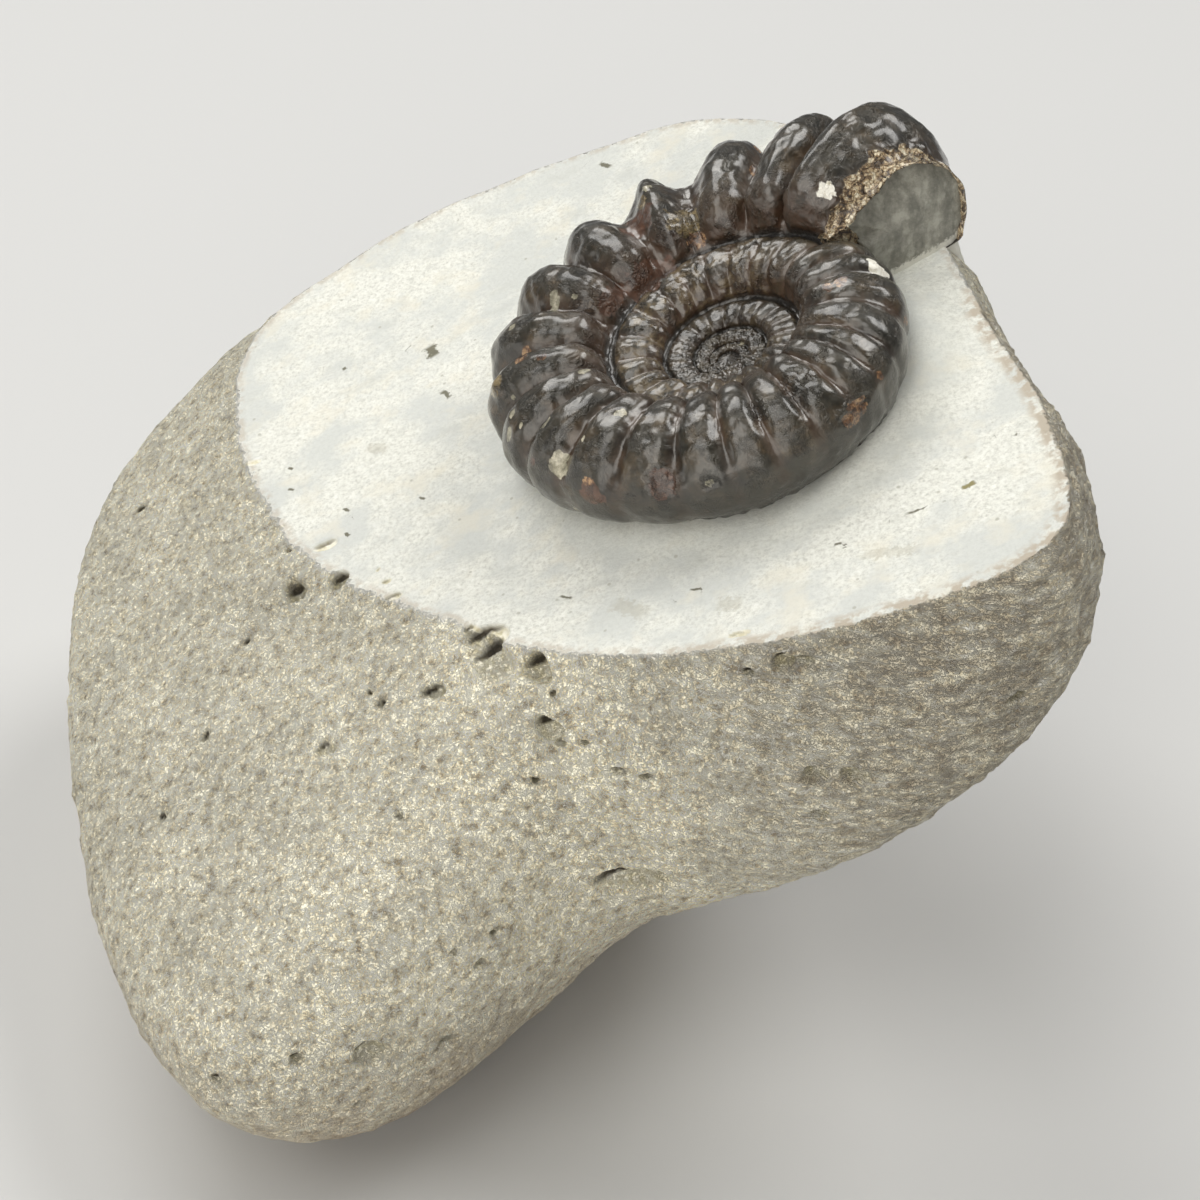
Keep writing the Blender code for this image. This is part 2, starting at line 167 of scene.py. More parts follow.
# The stone's fine grid, closer together where the camera looks: the start of each stretch, in degrees
# of azimuth or in rows, and how many steps it has
GRID_COLUMNS = ((-5, 130), (165, 320), (355, 0))
GRID_ROWS = ((0.0, 5), (1.4, 38), (6.9, 1), (6.96, 1), (7.0, 1), (7.05, 1), (7.12, 1), (7.2, 44),
             (13.0, 50), (19.0, 18), (25.0, 0))

# Layers of roughness: height, size of the largest features, octaves and offset
NATURAL_RELIEF = ((0.30, 9.0, 2, 0.0), (0.20, 2.4, 2, 5.0), (0.17, 1.0, 3, 1.7))
FACE_RELIEF = ((0.05, 7.0, 2, 8.8), (0.012, 0.8, 2, 4.4))
RIM_WOBBLE = ((0.42, 4.5, 2, 3.1), (0.22, 1.3, 2, 7.7))
SEDIMENT_RELIEF = ((0.22, 3.0, 2, 2.0), (0.10, 0.7, 3, 6.0))
BED_RELIEF = 0.26
BED_SPAN = (262, 300, 352, 358)    # azimuths between which the beds show, with soft ends
RIM_JAGGED = ((0, 120, 170, 215, 245, 280, 360), (0.5, 0.5, 1.0, 1.2, 1.0, 0.45, 0.5))
FRONT_AZIMUTH = 264.0          # the middle of the front, where painted light brightens the natural surface, and its spread, in degrees
FRONT_SPREAD = 26.0

# Bored pits that the photograph shows: pixel across and down, radius and depth in millimetres,
# stretch across the picture, and lean of the hole towards the top of the picture
PITS = (
    (293, 591, 1.4, 1.35, 1.0, 0.4), (336, 581, 0.95, 1.1, 1.5, 0.5), (291, 550, 0.35, 0.5, 1.0, 0.2),
    (245, 642, 0.5, 0.6, 1.0, 0.3), (140, 508, 0.6, 0.5, 1.3, 0.2), (207, 737, 0.6, 0.5, 1.2, 0.3),
    (325, 748, 0.9, 0.35, 1.3, 0.2), (369, 692, 0.35, 0.5, 1.2, 0.3), (381, 703, 0.55, 0.8, 1.0, 0.3),
    (433, 692, 0.75, 0.8, 2.0, 0.6), (484, 640, 1.7, 0.85, 1.3, 0.6), (492, 662, 2.3, 0.55, 0.9, 0.3),
    (536, 669, 1.5, 1.3, 1.1, 0.4), (548, 730, 1.2, 1.1, 1.2, 0.6), (535, 782, 0.42, 0.8, 1.0, 0.2),
    (552, 694, 0.32, 0.5, 1.2, 0.2), (782, 663, 0.8, 1.3, 1.4, 0.5), (805, 661, 0.4, 0.3, 2.6, 0.2),
    (748, 672, 0.4, 0.4, 1.4, 0.2), (815, 776, 0.9, 1.3, 1.5, 0.5), (856, 777, 0.95, 1.4, 1.3, 0.4),
    (821, 817, 0.7, 1.0, 1.2, 0.3), (922, 800, 0.5, 0.5, 1.6, 0.3), (906, 818, 0.4, 0.5, 1.2, 0.2),
    (1017, 697, 0.45, 0.5, 2.4, 0.4), (635, 881, 2.3, 0.8, 1.5, 0.3), (665, 880, 0.6, 0.6, 1.3, 0.3),
    (495, 933, 0.5, 0.6, 1.2, 0.3), (455, 953, 0.45, 0.5, 1.0, 0.2), (482, 963, 0.6, 0.7, 1.2, 0.3),
    (371, 1056, 1.5, 1.1, 1.1, 0.5), (296, 1060, 0.6, 0.7, 1.1, 0.3), (447, 1041, 0.5, 0.5, 2.4, 0.3),
    (357, 1103, 0.35, 0.5, 1.0, 0.2), (216, 1080, 0.55, 0.5, 1.2, 0.2), (161, 817, 0.6, 0.5, 1.1, 0.2),
    (399, 816, 0.4, 0.4, 1.2, 0.2), (86, 857, 0.5, 0.5, 1.0, 0.2), (584, 743, 0.3, 0.3, 2.2, 0.2),
    (620, 771, 0.45, 0.35, 2.4, 0.3), (646, 777, 0.35, 0.35, 2.0, 0.2), (560, 744, 0.4, 0.3, 2.0, 0.2))

# Pits on the sides that the photograph doesn't show: how many, and their lowest and highest place and radius
HIDDEN_PITS = 26
HIDDEN_HEIGHTS = (-45, -12)
HIDDEN_RADII = (0.35, 1.3)

# Chips along the rim of the face: pixel, radius, depth, stretch and lean as above
RIM_CHIPS = (
    (326, 545, 0.8, 0.3, 1.6, 0.0), (386, 581, 0.45, 0.25, 1.2, 0.0), (393, 597, 0.6, 0.3, 1.8, 0.0),
    (470, 629, 0.7, 0.3, 1.4, 0.3), (378, 569, 0.3, 0.2, 1.0, 0.0), (254, 462, 0.5, 0.12, 2.0, 0.0),
    (277, 528, 0.35, 0.12, 2.6, 0.0), (740, 633, 0.5, 0.2, 2.2, 0.2))

# Marks on the prepared face, by kind: the pixels of the two ends, and half width in millimetres
MARKS = {
    "dark": (
        (428, 347, 435, 356, 0.60), (343, 368, 345, 370, 0.25), (288, 468, 293, 469, 0.16),
        (343, 509, 350, 511, 0.16), (345, 533, 349, 536, 0.16), (419, 497, 425, 499, 0.14),
        (288, 489, 294, 490, 0.14), (1015, 434, 1022, 436, 0.18), (1043, 430, 1048, 432, 0.15),
        (442, 391, 450, 397, 0.30), (906, 514, 938, 503, 0.14), (944, 501, 984, 488, 0.11),
        (600, 163, 610, 167, 0.30), (560, 596, 572, 598, 0.13), (690, 590, 702, 588, 0.12),
        (834, 545, 842, 543, 0.14)),
    "faint": (
        (614, 602, 646, 615, 0.8), (716, 606, 742, 602, 0.8), (366, 448, 388, 449, 0.6),
        (860, 556, 920, 548, 0.6)),
    "ochre": (
        (962, 489, 975, 482, 0.22),),
    "pale": (
        (237, 468, 263, 456, 0.18), (267, 536, 287, 520, 0.16))}
MARK_REACH = 1.6               # a mark is followed this far outside itself, in millimetres
MARK_FAR = 9.0                 # place across and along that stands for no mark nearby

# Patches of the shell, by kind: pixel, radius in millimetres, and stretch along the whorl
PATCHES = {
    "white": (
        (828, 191, 0.8, 1.0), (880, 270, 1.15, 0.6), (871, 260, 0.6, 0.6)),
    "cream": (
        (555, 302, 0.62, 1.6), (512, 414, 0.42, 1.0), (521, 424, 0.36, 0.7), (508, 435, 0.72, 0.6),
        (545, 423, 0.66, 0.5), (558, 464, 1.1, 1.0), (584, 437, 0.36, 0.5), (620, 413, 0.5, 1.0),
        (575, 297, 0.34, 1.0), (512, 327, 0.34, 1.0), (513, 397, 0.34, 0.6), (646, 188, 0.6, 0.8),
        (578, 511, 0.5, 1.4), (582, 374, 0.55, 0.6), (710, 484, 0.3, 1.4), (741, 344, 0.3, 1.0),
        (936, 172, 0.6, 1.0)),
    "ochre": (
        (497, 386, 1.15, 0.8), (642, 203, 0.9, 0.8), (684, 224, 1.7, 1.2)),
    "orange": (
        (522, 357, 0.8, 1.2), (541, 358, 0.5, 0.8), (527, 353, 0.6, 1.0), (840, 281, 0.7, 1.0),
        (828, 287, 0.5, 1.2), (588, 482, 0.5, 1.2), (906, 320, 0.6, 0.7), (880, 375, 0.5, 0.8),
        (757, 151, 0.7, 0.8), (754, 171, 0.8, 0.6), (856, 412, 1.25, 1.2), (698, 240, 0.8, 1.6)),
    "russet": (
        (661, 484, 1.35, 1.0), (592, 494, 1.1, 1.2), (532, 461, 0.5, 1.0), (652, 276, 1.6, 2.0),
        (640, 225, 1.6, 1.4), (612, 300, 1.2, 2.2), (700, 165, 1.0, 0.8)),
    "rough": (
        (799, 382, 1.75, 1.0), (758, 412, 1.1, 1.0), (856, 412, 1.6, 1.2), (684, 224, 2.2, 1.2),
        (725, 150, 1.0, 0.8), (661, 484, 1.5, 1.0), (710, 484, 0.6, 1.4), (588, 300, 1.4, 1.2),
        (915, 149, 1.2, 1.2))}

# Lumps standing on the shell: pixel, radius and height
LUMPS = ((921, 149, 1.3, 0.45), (497, 386, 1.2, 0.35), (646, 189, 0.55, 0.4), (958, 195, 0.5, 0.25),
         (782, 482, 0.7, 0.25), (802, 478, 0.7, 0.3), (836, 452, 0.6, 0.2))

# Round soft lamps: name, azimuth and elevation in the face's frame, distance, size, brightness of the
# surface, and colour
LAMPS = (("overhead", 254, 76, 1.0, 0.70, 2.6, (1.0, 0.985, 0.95)),
         ("back", 98, 47, 1.0, 0.66, 4.6, (1.0, 0.99, 0.97)),
         ("back_right", 28, 33, 1.0, 0.50, 6.8, (1.0, 0.99, 0.97)),
         ("left", 200, 16, 1.2, 0.8, 1.3, (1.0, 0.975, 0.93)),
         ("front", 266, 27, 1.2, 1.3, 2.1, (1.0, 0.96, 0.90)))
SKY_COLOUR = (0.93, 0.96, 1.0, 1.0)
SKY_STRENGTH = 0.12
FLOOR_HALF = 3.0
FLOOR_LEVEL = -0.0001
FLOOR_COLOUR = (0.68, 0.68, 0.67, 1.0)


def ring_value(values, azimuth):
    """Smooth closed curve through values that are evenly spaced round the circle."""
    values = np.asarray(values, float)
    count = len(values)
    place = azimuth / (2 * math.pi) * count
    first = np.floor(place).astype(int)
    t = place - first
    a, b, c, d = (values[(first + k) % count] for k in (-1, 0, 1, 2))
    return b + 0.5 * t * (c - a + t * (2 * a - 5 * b + 4 * c - d + t * (3 * (b - c) + d - a)))


def face_height(x, y):
    """Height of the prepared face."""
    across = ((x - FACE_CENTRE[0]) / FACE_HALF_LENGTH) ** 2 + ((y - FACE_CENTRE[1]) / FACE_HALF_WIDTH) ** 2
    outside = np.maximum(np.hypot(x, y) - COLLAR_RADIUS, 0.0) / COLLAR_SPREAD
    side = np.interp(np.degrees(np.arctan2(y, x)) % 360.0, *COLLAR_SIDES)
    return FACE_LEVEL + FACE_DISH * across ** 1.5 + COLLAR_RISE * side * np.exp(-outside ** 2)


def lobe(x, y, depth, middle_x, middle_y, spread):
    """A rounded extra depth."""
    return depth * np.exp(-((x - middle_x) ** 2 + (y - middle_y) ** 2) / (2 * spread ** 2))


def under_depth(x, y):
    """Depth of the underside below the widest line."""
    slope = UNDER_DEPTH + UNDER_TILT * (x - FACE_CENTRE[0]) / 40.0
    return slope + lobe(x, y, *BELLY) + lobe(x, y, *TOE)


def stone_rings(azimuths):
    """Rings of points from the centre of the face over the rim and down to the middle of the underside."""
    out_x, out_y = np.cos(azimuths), np.sin(azimuths)
    rim = ring_value(RIM_RADII, azimuths)
    widest = rim + ring_value(BULGE, azimuths)
    outline = np.add(RIM_RADII, BULGE)
    rounded = ring_value(sum(np.roll(outline, k) for k in UNDER_REACH) / len(UNDER_REACH), azimuths)
    waist = ring_value(WAIST_HEIGHT, azimuths)

    def ring(radius, height=None, shift=0.0):
        x = FACE_CENTRE[0] + shift * (UNDER_CENTRE[0] - FACE_CENTRE[0]) + out_x * radius
        y = FACE_CENTRE[1] + shift * (UNDER_CENTRE[1] - FACE_CENTRE[1]) + out_y * radius
        return np.stack([x, y, face_height(x, y) if height is None else height], axis=-1)

    rings = [ring(rim * k / FACE_RINGS) for k in range(FACE_RINGS)]
    rim_height = ring(rim)[:, 2]
    drop = rim_height - waist
    spread = np.array(SHOULDER_SPREAD) / sum(SHOULDER_SPREAD)
    evened = sum(w * np.roll(BULGE, k - len(spread) // 2) for k, w in enumerate(spread))
    bulge = ring_value(evened, azimuths)
    reach = np.hypot(drop, bulge)
    slope = np.arctan2(drop, bulge) * SHOULDER_SLOPE
    for k in range(SHOULDER_RINGS):
        t = k / SHOULDER_RINGS
        near, first, second, far = (1 - t) ** 3, 3 * t * (1 - t) ** 2, 3 * t * t * (1 - t), t ** 3
        radius = near * rim + first * (rim + 0.4 * reach * np.cos(slope)) + (second + far) * widest
        height = (near * rim_height + first * (rim_height - 0.4 * reach * np.sin(slope))
                  + second * (waist + 0.45 * drop) + far * waist)
        rings.append(ring(radius, height))
    for k in range(UNDER_RINGS + 1):
        share = math.cos(k / UNDER_RINGS * math.pi / 2)
        radius = share * (share * widest + (1 - share) * rounded)
        flat = ring(radius, waist, 1 - share)
        level = waist * share ** 2 + UNDER_LEVEL * (1 - share ** 2)
        fall = under_depth(flat[:, 0], flat[:, 1]) * math.sqrt(1 - share ** UNDER_FULLNESS)
        rings.append(ring(radius, level - fall, 1 - share))
    return rings


def wear(rows, first):
    """Evens out the rings from the given one down, each point towards the middle of its neighbours."""
    rows = np.array(rows)
    for strength in WEAR:
        around = (np.roll(rows, 1, axis=1) + np.roll(rows, -1, axis=1)) / 2
        along = (rows[:-2] + rows[2:]) / 2
        rows[first:-1] += strength * ((around[first:-1] + along[first - 1:]) / 2 - rows[first:-1])
    return rows


def to_world(points):
    """Leans points of the face's frame into the resting pose, in metres."""
    leaned = np.asarray(points, float) @ LEAN.T
    return (leaned - np.array([MIDDLE_X, MIDDLE_Y, GROUND])) * MM


def lean_matrix():
    """Turn of the face's frame into the resting pose."""
    left, front = -LEAN_LEFT, LEAN_FRONT
    turn_y = np.array([[math.cos(left), 0, math.sin(left)], [0, 1, 0], [-math.sin(left), 0, math.cos(left)]])
    turn_x = np.array([[1, 0, 0], [0, math.cos(front), -math.sin(front)],
                       [0, math.sin(front), math.cos(front)]])
    return turn_x @ turn_y


LEAN = lean_matrix()
CAMERA_TOWARD = np.cross(CAMERA_RIGHT, CAMERA_UP)


def rough(points, size, octaves=3, offset=0.0, persistence=0.8):
    """Fractal noise of about -1 to 1, whose largest features have the given size."""
    places = (np.asarray(points, float) / size + offset).tolist()
    return np.array([noise.fractal(p, persistence, 2.1, octaves) for p in places])


def layered(points, layers):
    """Sum of layers of roughness."""
    return sum(height * rough(points, size, octaves, offset) for height, size, octaves, offset in layers)


def smooth_step(value, low, high):
    """0 below low, 1 above high, with soft ends."""
    t = np.clip((np.asarray(value, float) - low) / (high - low), 0.0, 1.0)
    return t * t * (3 - 2 * t)


def pixel_ray(x, y):
    """Direction in the face's frame of the sight line through a pixel of the photograph."""
    half = PICTURE / 2
    ray = CAMERA_RIGHT * (x - half) + CAMERA_UP * (half - y) - CAMERA_TOWARD * FOCAL_PIXELS
    return ray / np.linalg.norm(ray)


def hit_point(tree, start, ray):
    """Where a ray meets a surface, and the surface's normal there, turned against the ray."""
    spot, normal, _, _ = tree.ray_cast(Vector(start), Vector(ray))
    if spot is None:
        return None
    normal = np.array(normal)
    return np.array(spot), -normal if normal @ ray > 0 else normal


def seen_point(tree, x, y):
    """Where the sight line through a pixel meets a surface, and the surface's normal there."""
    return hit_point(tree, CAMERA_PLACE, pixel_ray(x, y))


def face_place(x, y):
    """Where the sight line through a pixel meets the prepared face."""
    ray = pixel_ray(x, y)
    level = FACE_LEVEL
    for _ in range(4):
        spot = CAMERA_PLACE + ray * (level - CAMERA_PLACE[2]) / ray[2]
        level = float(face_height(spot[0], spot[1]))
    return spot


def float_layers(mesh, layers):
    """Stores one number for each point under each name."""
    for name, values in layers.items():
        layer = mesh.attributes.new(name, "FLOAT", "POINT")
        layer.data.foreach_set("value", np.ascontiguousarray(values, np.float32))


def coordinates(mesh):
    """The mesh's points."""
    flat = np.empty(len(mesh.vertices) * 3)
    mesh.vertices.foreach_get("co", flat)
    return flat.reshape(-1, 3)


def normals(mesh):
    """The outward normal at each point of the mesh."""
    flat = np.empty(len(mesh.vertices) * 3, np.float32)
    mesh.vertex_normals.foreach_get("vector", flat)
    return flat.reshape(-1, 3).astype(float)


def set_coordinates(mesh, points):
    """Moves the mesh's points."""
    mesh.vertices.foreach_set("co", np.ascontiguousarray(points, np.float32).ravel())
    mesh.update()


def closed_mesh(name, work):
    """Turns the faces of a closed body outwards, and makes a mesh of it."""
    bmesh.ops.recalc_face_normals(work, faces=work.faces[:])
    if work.calc_volume(signed=True) < 0:
        bmesh.ops.reverse_faces(work, faces=work.faces[:])
    mesh = bpy.data.meshes.new(name)
    work.to_mesh(mesh)
    work.free()
    return mesh


def solid(name, points, faces):
    """A closed mesh from points and faces, with the large faces in triangles."""
    work = bmesh.new()
    made = [work.verts.new(p) for p in points]
    for face in faces:
        work.faces.new([made[k] for k in face])
    work.normal_update()
    bmesh.ops.triangulate(work, faces=[f for f in work.faces if len(f.verts) > 4])
    return closed_mesh(name, work)


def show_piece(name, mesh, material, node):
    """Puts a finished mesh in the scene in place of its CAD node."""
    piece = bpy.data.objects.new(name, mesh)
    bpy.context.scene.collection.objects.link(piece)
    mesh.materials.clear()
    mesh.materials.append(material)
    mesh.shade_smooth()
    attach(piece, "root")
    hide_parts(node)
    return piece


# Stone

def stone_surface(azimuth, row, control):
    """Points of the stone by azimuth and row: the face by its formula, the rest from the rings."""
    radius = ring_value(RIM_RADII, azimuth) * np.minimum(row / FACE_RINGS, 1.0)
    x = FACE_CENTRE[0] + np.cos(azimuth) * radius
    y = FACE_CENTRE[1] + np.sin(azimuth) * radius
    face = np.stack([x, y, face_height(x, y)], axis=-1)

    before = 2 * control[FACE_RINGS] - control[FACE_RINGS + 1]
    past = np.roll(control[-2], STONE_COLUMNS // 2, axis=0)
    rows = np.concatenate([[before], control[FACE_RINGS:], [past]])
    place = np.clip(row - FACE_RINGS, 0, STONE_ROWS - FACE_RINGS - 1 - 1e-9)
    first = np.floor(place).astype(int)
    t = place - first
    turn = azimuth / (2 * math.pi) * STONE_COLUMNS
    column = np.floor(turn).astype(int)
    u = turn - column

    def weights(s):
        return (-0.5 * s + s * s - 0.5 * s ** 3, 1 - 2.5 * s * s + 1.5 * s ** 3,
                0.5 * s + 2 * s * s - 1.5 * s ** 3, -0.5 * s * s + 0.5 * s ** 3)

    natural = 0.0
    for i, down in enumerate(weights(t)):
        for j, around in enumerate(weights(u)):
            natural = natural + (down * around)[:, None] * rows[first + i, (column + j - 1) % STONE_COLUMNS]
    return np.where((row <= FACE_RINGS)[:, None], face, natural)


def stretches(table):
    """Places that are evenly spaced within each stretch."""
    ends = zip(table, table[1:])
    parts = [np.linspace(start, end, steps, endpoint=False) for (start, steps), (end, _) in ends]
    return np.concatenate([*parts, [table[-1][0]]])


def pit_places(tree, holes):
    """Middle, normal, the two directions in the surface, and the sizes of each hole."""
    found = []
    for x, y, radius, depth, stretch, lean in holes:
        hit = seen_point(tree, x, y)
        if hit is None:
            continue
        spot, normal = hit
        side = CAMERA_RIGHT - normal * (CAMERA_RIGHT @ normal)
        side /= np.linalg.norm(side)
        up = np.cross(normal, side)
        if up @ CAMERA_UP < 0:
            up = -up
        found.append((spot, normal, side, up, radius, depth, stretch, lean))
    return found


def hidden_pits(tree, random):
    """Pits on the sides that the photograph doesn't show, scattered in the same sizes."""
    found = []
    while len(found) < HIDDEN_PITS:
        azimuth = random.uniform(0, 2 * math.pi)
        height = random.uniform(*HIDDEN_HEIGHTS)
        inward = np.array([-math.cos(azimuth), -math.sin(azimuth), 0.0])
        hit = hit_point(tree, np.array([*FACE_CENTRE, height]) - inward * 150, inward)
        if hit is None or hit[1] @ CAMERA_TOWARD > -0.15:
            continue
        spot, normal = hit
        side = np.cross(normal, [0, 0, 1.0])
        side /= np.linalg.norm(side)
        radius = random.uniform(*HIDDEN_RADII)
        found.append((spot, normal, side, np.cross(normal, side), radius,
                      radius * random.uniform(0.6, 1.0), random.uniform(1.0, 1.6), 0.2))
    return found


def mark_places(points, row):
    """Where each point of the face lies across and along the mark beside it, and that mark's kind."""
    across, along = np.full(len(points), MARK_FAR), np.full(len(points), MARK_FAR)
    kinds = {kind: np.zeros(len(points)) for kind in MARKS}
    for kind, marks in MARKS.items():
        for x0, y0, x1, y1, width in marks:
            start, end = face_place(x0, y0), face_place(x1, y1)
            half = np.linalg.norm(end - start) / 2
            way = (end - start) / (2 * half)
            side = np.cross([0, 0, 1.0], way)
            away = points - (start + end) / 2
            near = (np.abs(away @ side) < width + MARK_REACH) & (np.abs(away @ way) < half + MARK_REACH)
            near &= row < FACE_RINGS
            across[near], along[near] = (away @ side)[near] / width, (away @ way)[near] / half
            kinds[kind][near] = 1.0
    return across, along, kinds


def hole_shape(points, hole):
    """How deep each point lies in a hole and how shaded it is there, 0 to 1, and the way it moves."""
    spot, normal, side, up, radius, depth, stretch, lean = hole
    away = points - spot
    along, across, off = away @ side, away @ up, away @ normal
    bearing = np.arctan2(across, along)
    wobble = 1 + 0.10 * np.sin(2 * bearing + spot[0] * 3) + 0.07 * np.sin(3 * bearing + spot[1] * 5)
    distance = np.hypot(along / stretch, across) / (radius * wobble)
    inside = np.clip(1 - distance ** 4, 0, 1) ** 0.7 * (np.abs(off) < 2.5 * radius + 1)
    direction = -normal + 0.4 * lean * up
    lip = 0.08 * np.exp(-((distance - 1.12) / 0.14) ** 2) * (np.abs(off) < 2.5 * radius + 1)
    upper = smooth_step((0.93 * across - 0.37 * along / stretch) / radius, 0.15, 0.50)
    # Painted shade: the upper wall of each hole, and all of a small hole, gets a share of painted shadow
    shaded = inside * np.clip(upper + max(0.0, 1.0 - radius), 0, 1) * min(1.0, 2.4 * depth)
    move = inside[:, None] * depth * direction + lip[:, None] * normal * min(radius, 1.0)
    return inside, shaded, move


def divided_stone(control, places, quads, close):
    """The stone as a mesh, divided more finely where it is asked for, with each point's azimuth and row."""
    sheet = bmesh.new()
    made = [sheet.verts.new((azimuth, row, 0.0)) for azimuth, row in places]
    faces = [sheet.faces.new([made[k] for k in quad]) for quad in quads]
    edges = dict.fromkeys(edge for k in np.flatnonzero(close) for edge in faces[k].edges)
    bmesh.ops.subdivide_edges(sheet, edges=list(edges), cuts=2, use_grid_fill=True)
    bmesh.ops.triangulate(sheet, faces=[f for f in sheet.faces if len(f.verts) > 4])
    places = np.array([v.co[:2] for v in sheet.verts])
    azimuth_layer = sheet.verts.layers.float.new("azimuth")
    row_layer = sheet.verts.layers.float.new("row")
    points = stone_surface(places[:, 0], places[:, 1], control)
    for vertex, place, point in zip(sheet.verts, places, points):
        vertex[azimuth_layer], vertex[row_layer] = place
        vertex.co = point
    bmesh.ops.remove_doubles(sheet, verts=sheet.verts[:], dist=1e-4)
    azimuth = np.array([v[azimuth_layer] for v in sheet.verts])
    row = np.array([v[row_layer] for v in sheet.verts])
    return closed_mesh("matrix_stone", sheet), azimuth, row


def build_stone(material):
    """The cobble at full resolution: the CAD surface, then its grain, bedding, rim, chips and pits."""
    azimuths = np.linspace(0, 2 * math.pi, STONE_COLUMNS, endpoint=False)
    control = wear(stone_rings(azimuths), FACE_RINGS + 1)
    columns, rows = np.radians(stretches(GRID_COLUMNS)), stretches(GRID_ROWS)
    grid_row, grid_column = (grid.ravel() for grid in np.meshgrid(rows, columns, indexing="ij"))
    smooth = stone_surface(grid_column, grid_row, control)
    numbers = np.arange(len(smooth)).reshape(len(rows), len(columns))
    quads = np.stack([numbers[:-1, :-1], numbers[:-1, 1:], numbers[1:, 1:], numbers[1:, :-1]], axis=-1)
    quads = quads.reshape(-1, 4)
    tree = BVHTree.FromPolygons(smooth.tolist(), quads.tolist())
    random = np.random.default_rng(12)
    holes = pit_places(tree, PITS) + pit_places(tree, RIM_CHIPS) + hidden_pits(tree, random)

    # Round the holes and marks the surface is divided more finely
    middles = smooth[quads].mean(axis=1)
    across, along, _ = mark_places(middles, grid_row[quads[:, 0]])
    close = (np.abs(across) < MARK_FAR) & (np.abs(along) < MARK_FAR)
    for hole in holes:
        reach = hole[4] * max(hole[6], 1.0) + 0.45
        close |= np.linalg.norm(middles - hole[0], axis=1) < reach
    mesh, azimuth, row = divided_stone(control, zip(grid_column, grid_row), quads, close)

    points = coordinates(mesh)
    outward = normals(mesh)
    rim = stone_surface(azimuth, np.full(len(row), float(FACE_RINGS)), control)
    edge = np.linalg.norm(points - rim, axis=1) * np.where(row <= FACE_RINGS, 1.0, -1.0)
    natural = smooth_step(-edge, 0.0, 1.2)

    # Rim: uneven outline, more so at the left
    degrees = np.degrees(azimuth) % 360
    jagged = np.interp(degrees, *RIM_JAGGED)
    around = np.stack([rim[:, 0], rim[:, 1], np.zeros(len(rim))], axis=-1)
    out = np.stack([np.cos(azimuth), np.sin(azimuth), np.zeros(len(azimuth))], axis=-1)
    moved = points + out * (layered(around, RIM_WOBBLE) * jagged * np.exp(-(edge / 1.6) ** 2))[:, None]

    # Natural surface: low lumps, then grain, with bedding on the right
    bedding = smooth_step(degrees, *BED_SPAN[:2]) * (1 - smooth_step(degrees, *BED_SPAN[2:]))
    beds = np.stack([points[:, 0] / 9 + points[:, 2] / 30, points[:, 1] / 9,
                     (points[:, 2] - 0.22 * points[:, 0]) / 1.15], axis=-1)
    streaks = BED_RELIEF * rough(beds, 1.0, 3, 2.2) * bedding
    relief = natural * (layered(points, NATURAL_RELIEF) + streaks)
    relief += (1 - natural) * layered(points, FACE_RELIEF)
    moved += outward * relief[:, None]

    # Pits and chips
    pit, pit_painted_shade = np.zeros(len(points)), np.zeros(len(points))
    for hole in holes:
        inside, shaded, shift = hole_shape(points, hole)
        moved += shift
        pit = np.maximum(pit, inside)
        pit_painted_shade = np.maximum(pit_painted_shade, shaded)
    moved += outward * (pit * 0.12 * rough(points, 0.5, 2, 6.6))[:, None]

    world = to_world(moved)
    world[:, 2] = np.maximum(world[:, 2], 0.0)
    set_coordinates(mesh, world)
    across, along, kinds = mark_places(points, row)
    float_layers(mesh, {
        "edge": np.clip(edge, -12, 12), "pit": pit, "pit_painted_shade": pit_painted_shade, "bedding": bedding,
        # front: the share of the front that the finish paints brighter, as painted light
        "front": np.exp(-((degrees - FRONT_AZIMUTH) / FRONT_SPREAD) ** 2),
        "mark_across": across, "mark_along": along, **kinds,
        # Distance beyond 22 mm from the coil's middle, for the painted shade on the face next to the shell
        "shell_shade_distance": np.clip(np.hypot(points[:, 0], points[:, 1]) - 22.0, -20, 20)})
    return show_piece("cobble", mesh, material, "matrix_stone")


# Shell

def half_width_gain(back):
    """The whorl is a little stouter on its right side."""
    return 1.0 + 0.05 * np.exp(-((back - 300.0) / 45.0) ** 2)


def coil(back):
    """Azimuth in radians and middle radius, for a turn back from the broken end in degrees."""
    azimuth = np.radians(OPENING + back)
    turns = (OPENING + back - COIL_REFERENCE) / 360.0
    return azimuth, COIL_RADIUS * WHORL_RATIO ** -turns


def rib_wave(back):
    """Place between two crests, 0 to 1."""
    crests = list(RIB_CRESTS)
    crests.insert(0, crests[0] - FIRST_GAP)
    while crests[-1] < 360 * (SHELL_TURNS + 1.2):
        crests.append(crests[-1] + INNER_RIB_SPACING)
    crests = np.array(crests)
    k = np.clip(np.searchsorted(crests, back, side="right") - 1, 0, len(crests) - 2)
    return (back - crests[k]) / (crests[k + 1] - crests[k])


def rib_relief(back, angle):
    """How far the ribs raise the surface, as a share of the half-width, and the wave from gap to crest."""
    table = np.array(RIB_RELIEF)
    rise, drop, sharp = (np.interp(back, table[:, 0], table[:, c]) for c in (1, 2, 3))
    place = rib_wave(back)
    crested = (0.5 + 0.5 * np.cos(2 * math.pi * place)) ** sharp
    flat_topped = 1 - np.exp(-((place - 0.5) / RIB_GAP) ** 2)
    breadth = np.interp(back, *RIB_BREADTH)
    wave = (1 - breadth) * crested + breadth * flat_topped
    degrees = np.degrees(angle)
    across = np.interp(degrees, *RIB_ACROSS) * np.interp(back, *RIB_STRENGTH)
    across = across * (1 - 0.7 * smooth_step(back, 352, 368) * (1 - smooth_step(degrees, 66, 84)))
    worn = np.interp(back, *RIB_WORN) * np.interp(degrees, [20, 55], [0.75, 0.0])
    return (-drop + (rise + drop) * wave) * across * (1 - worn), wave


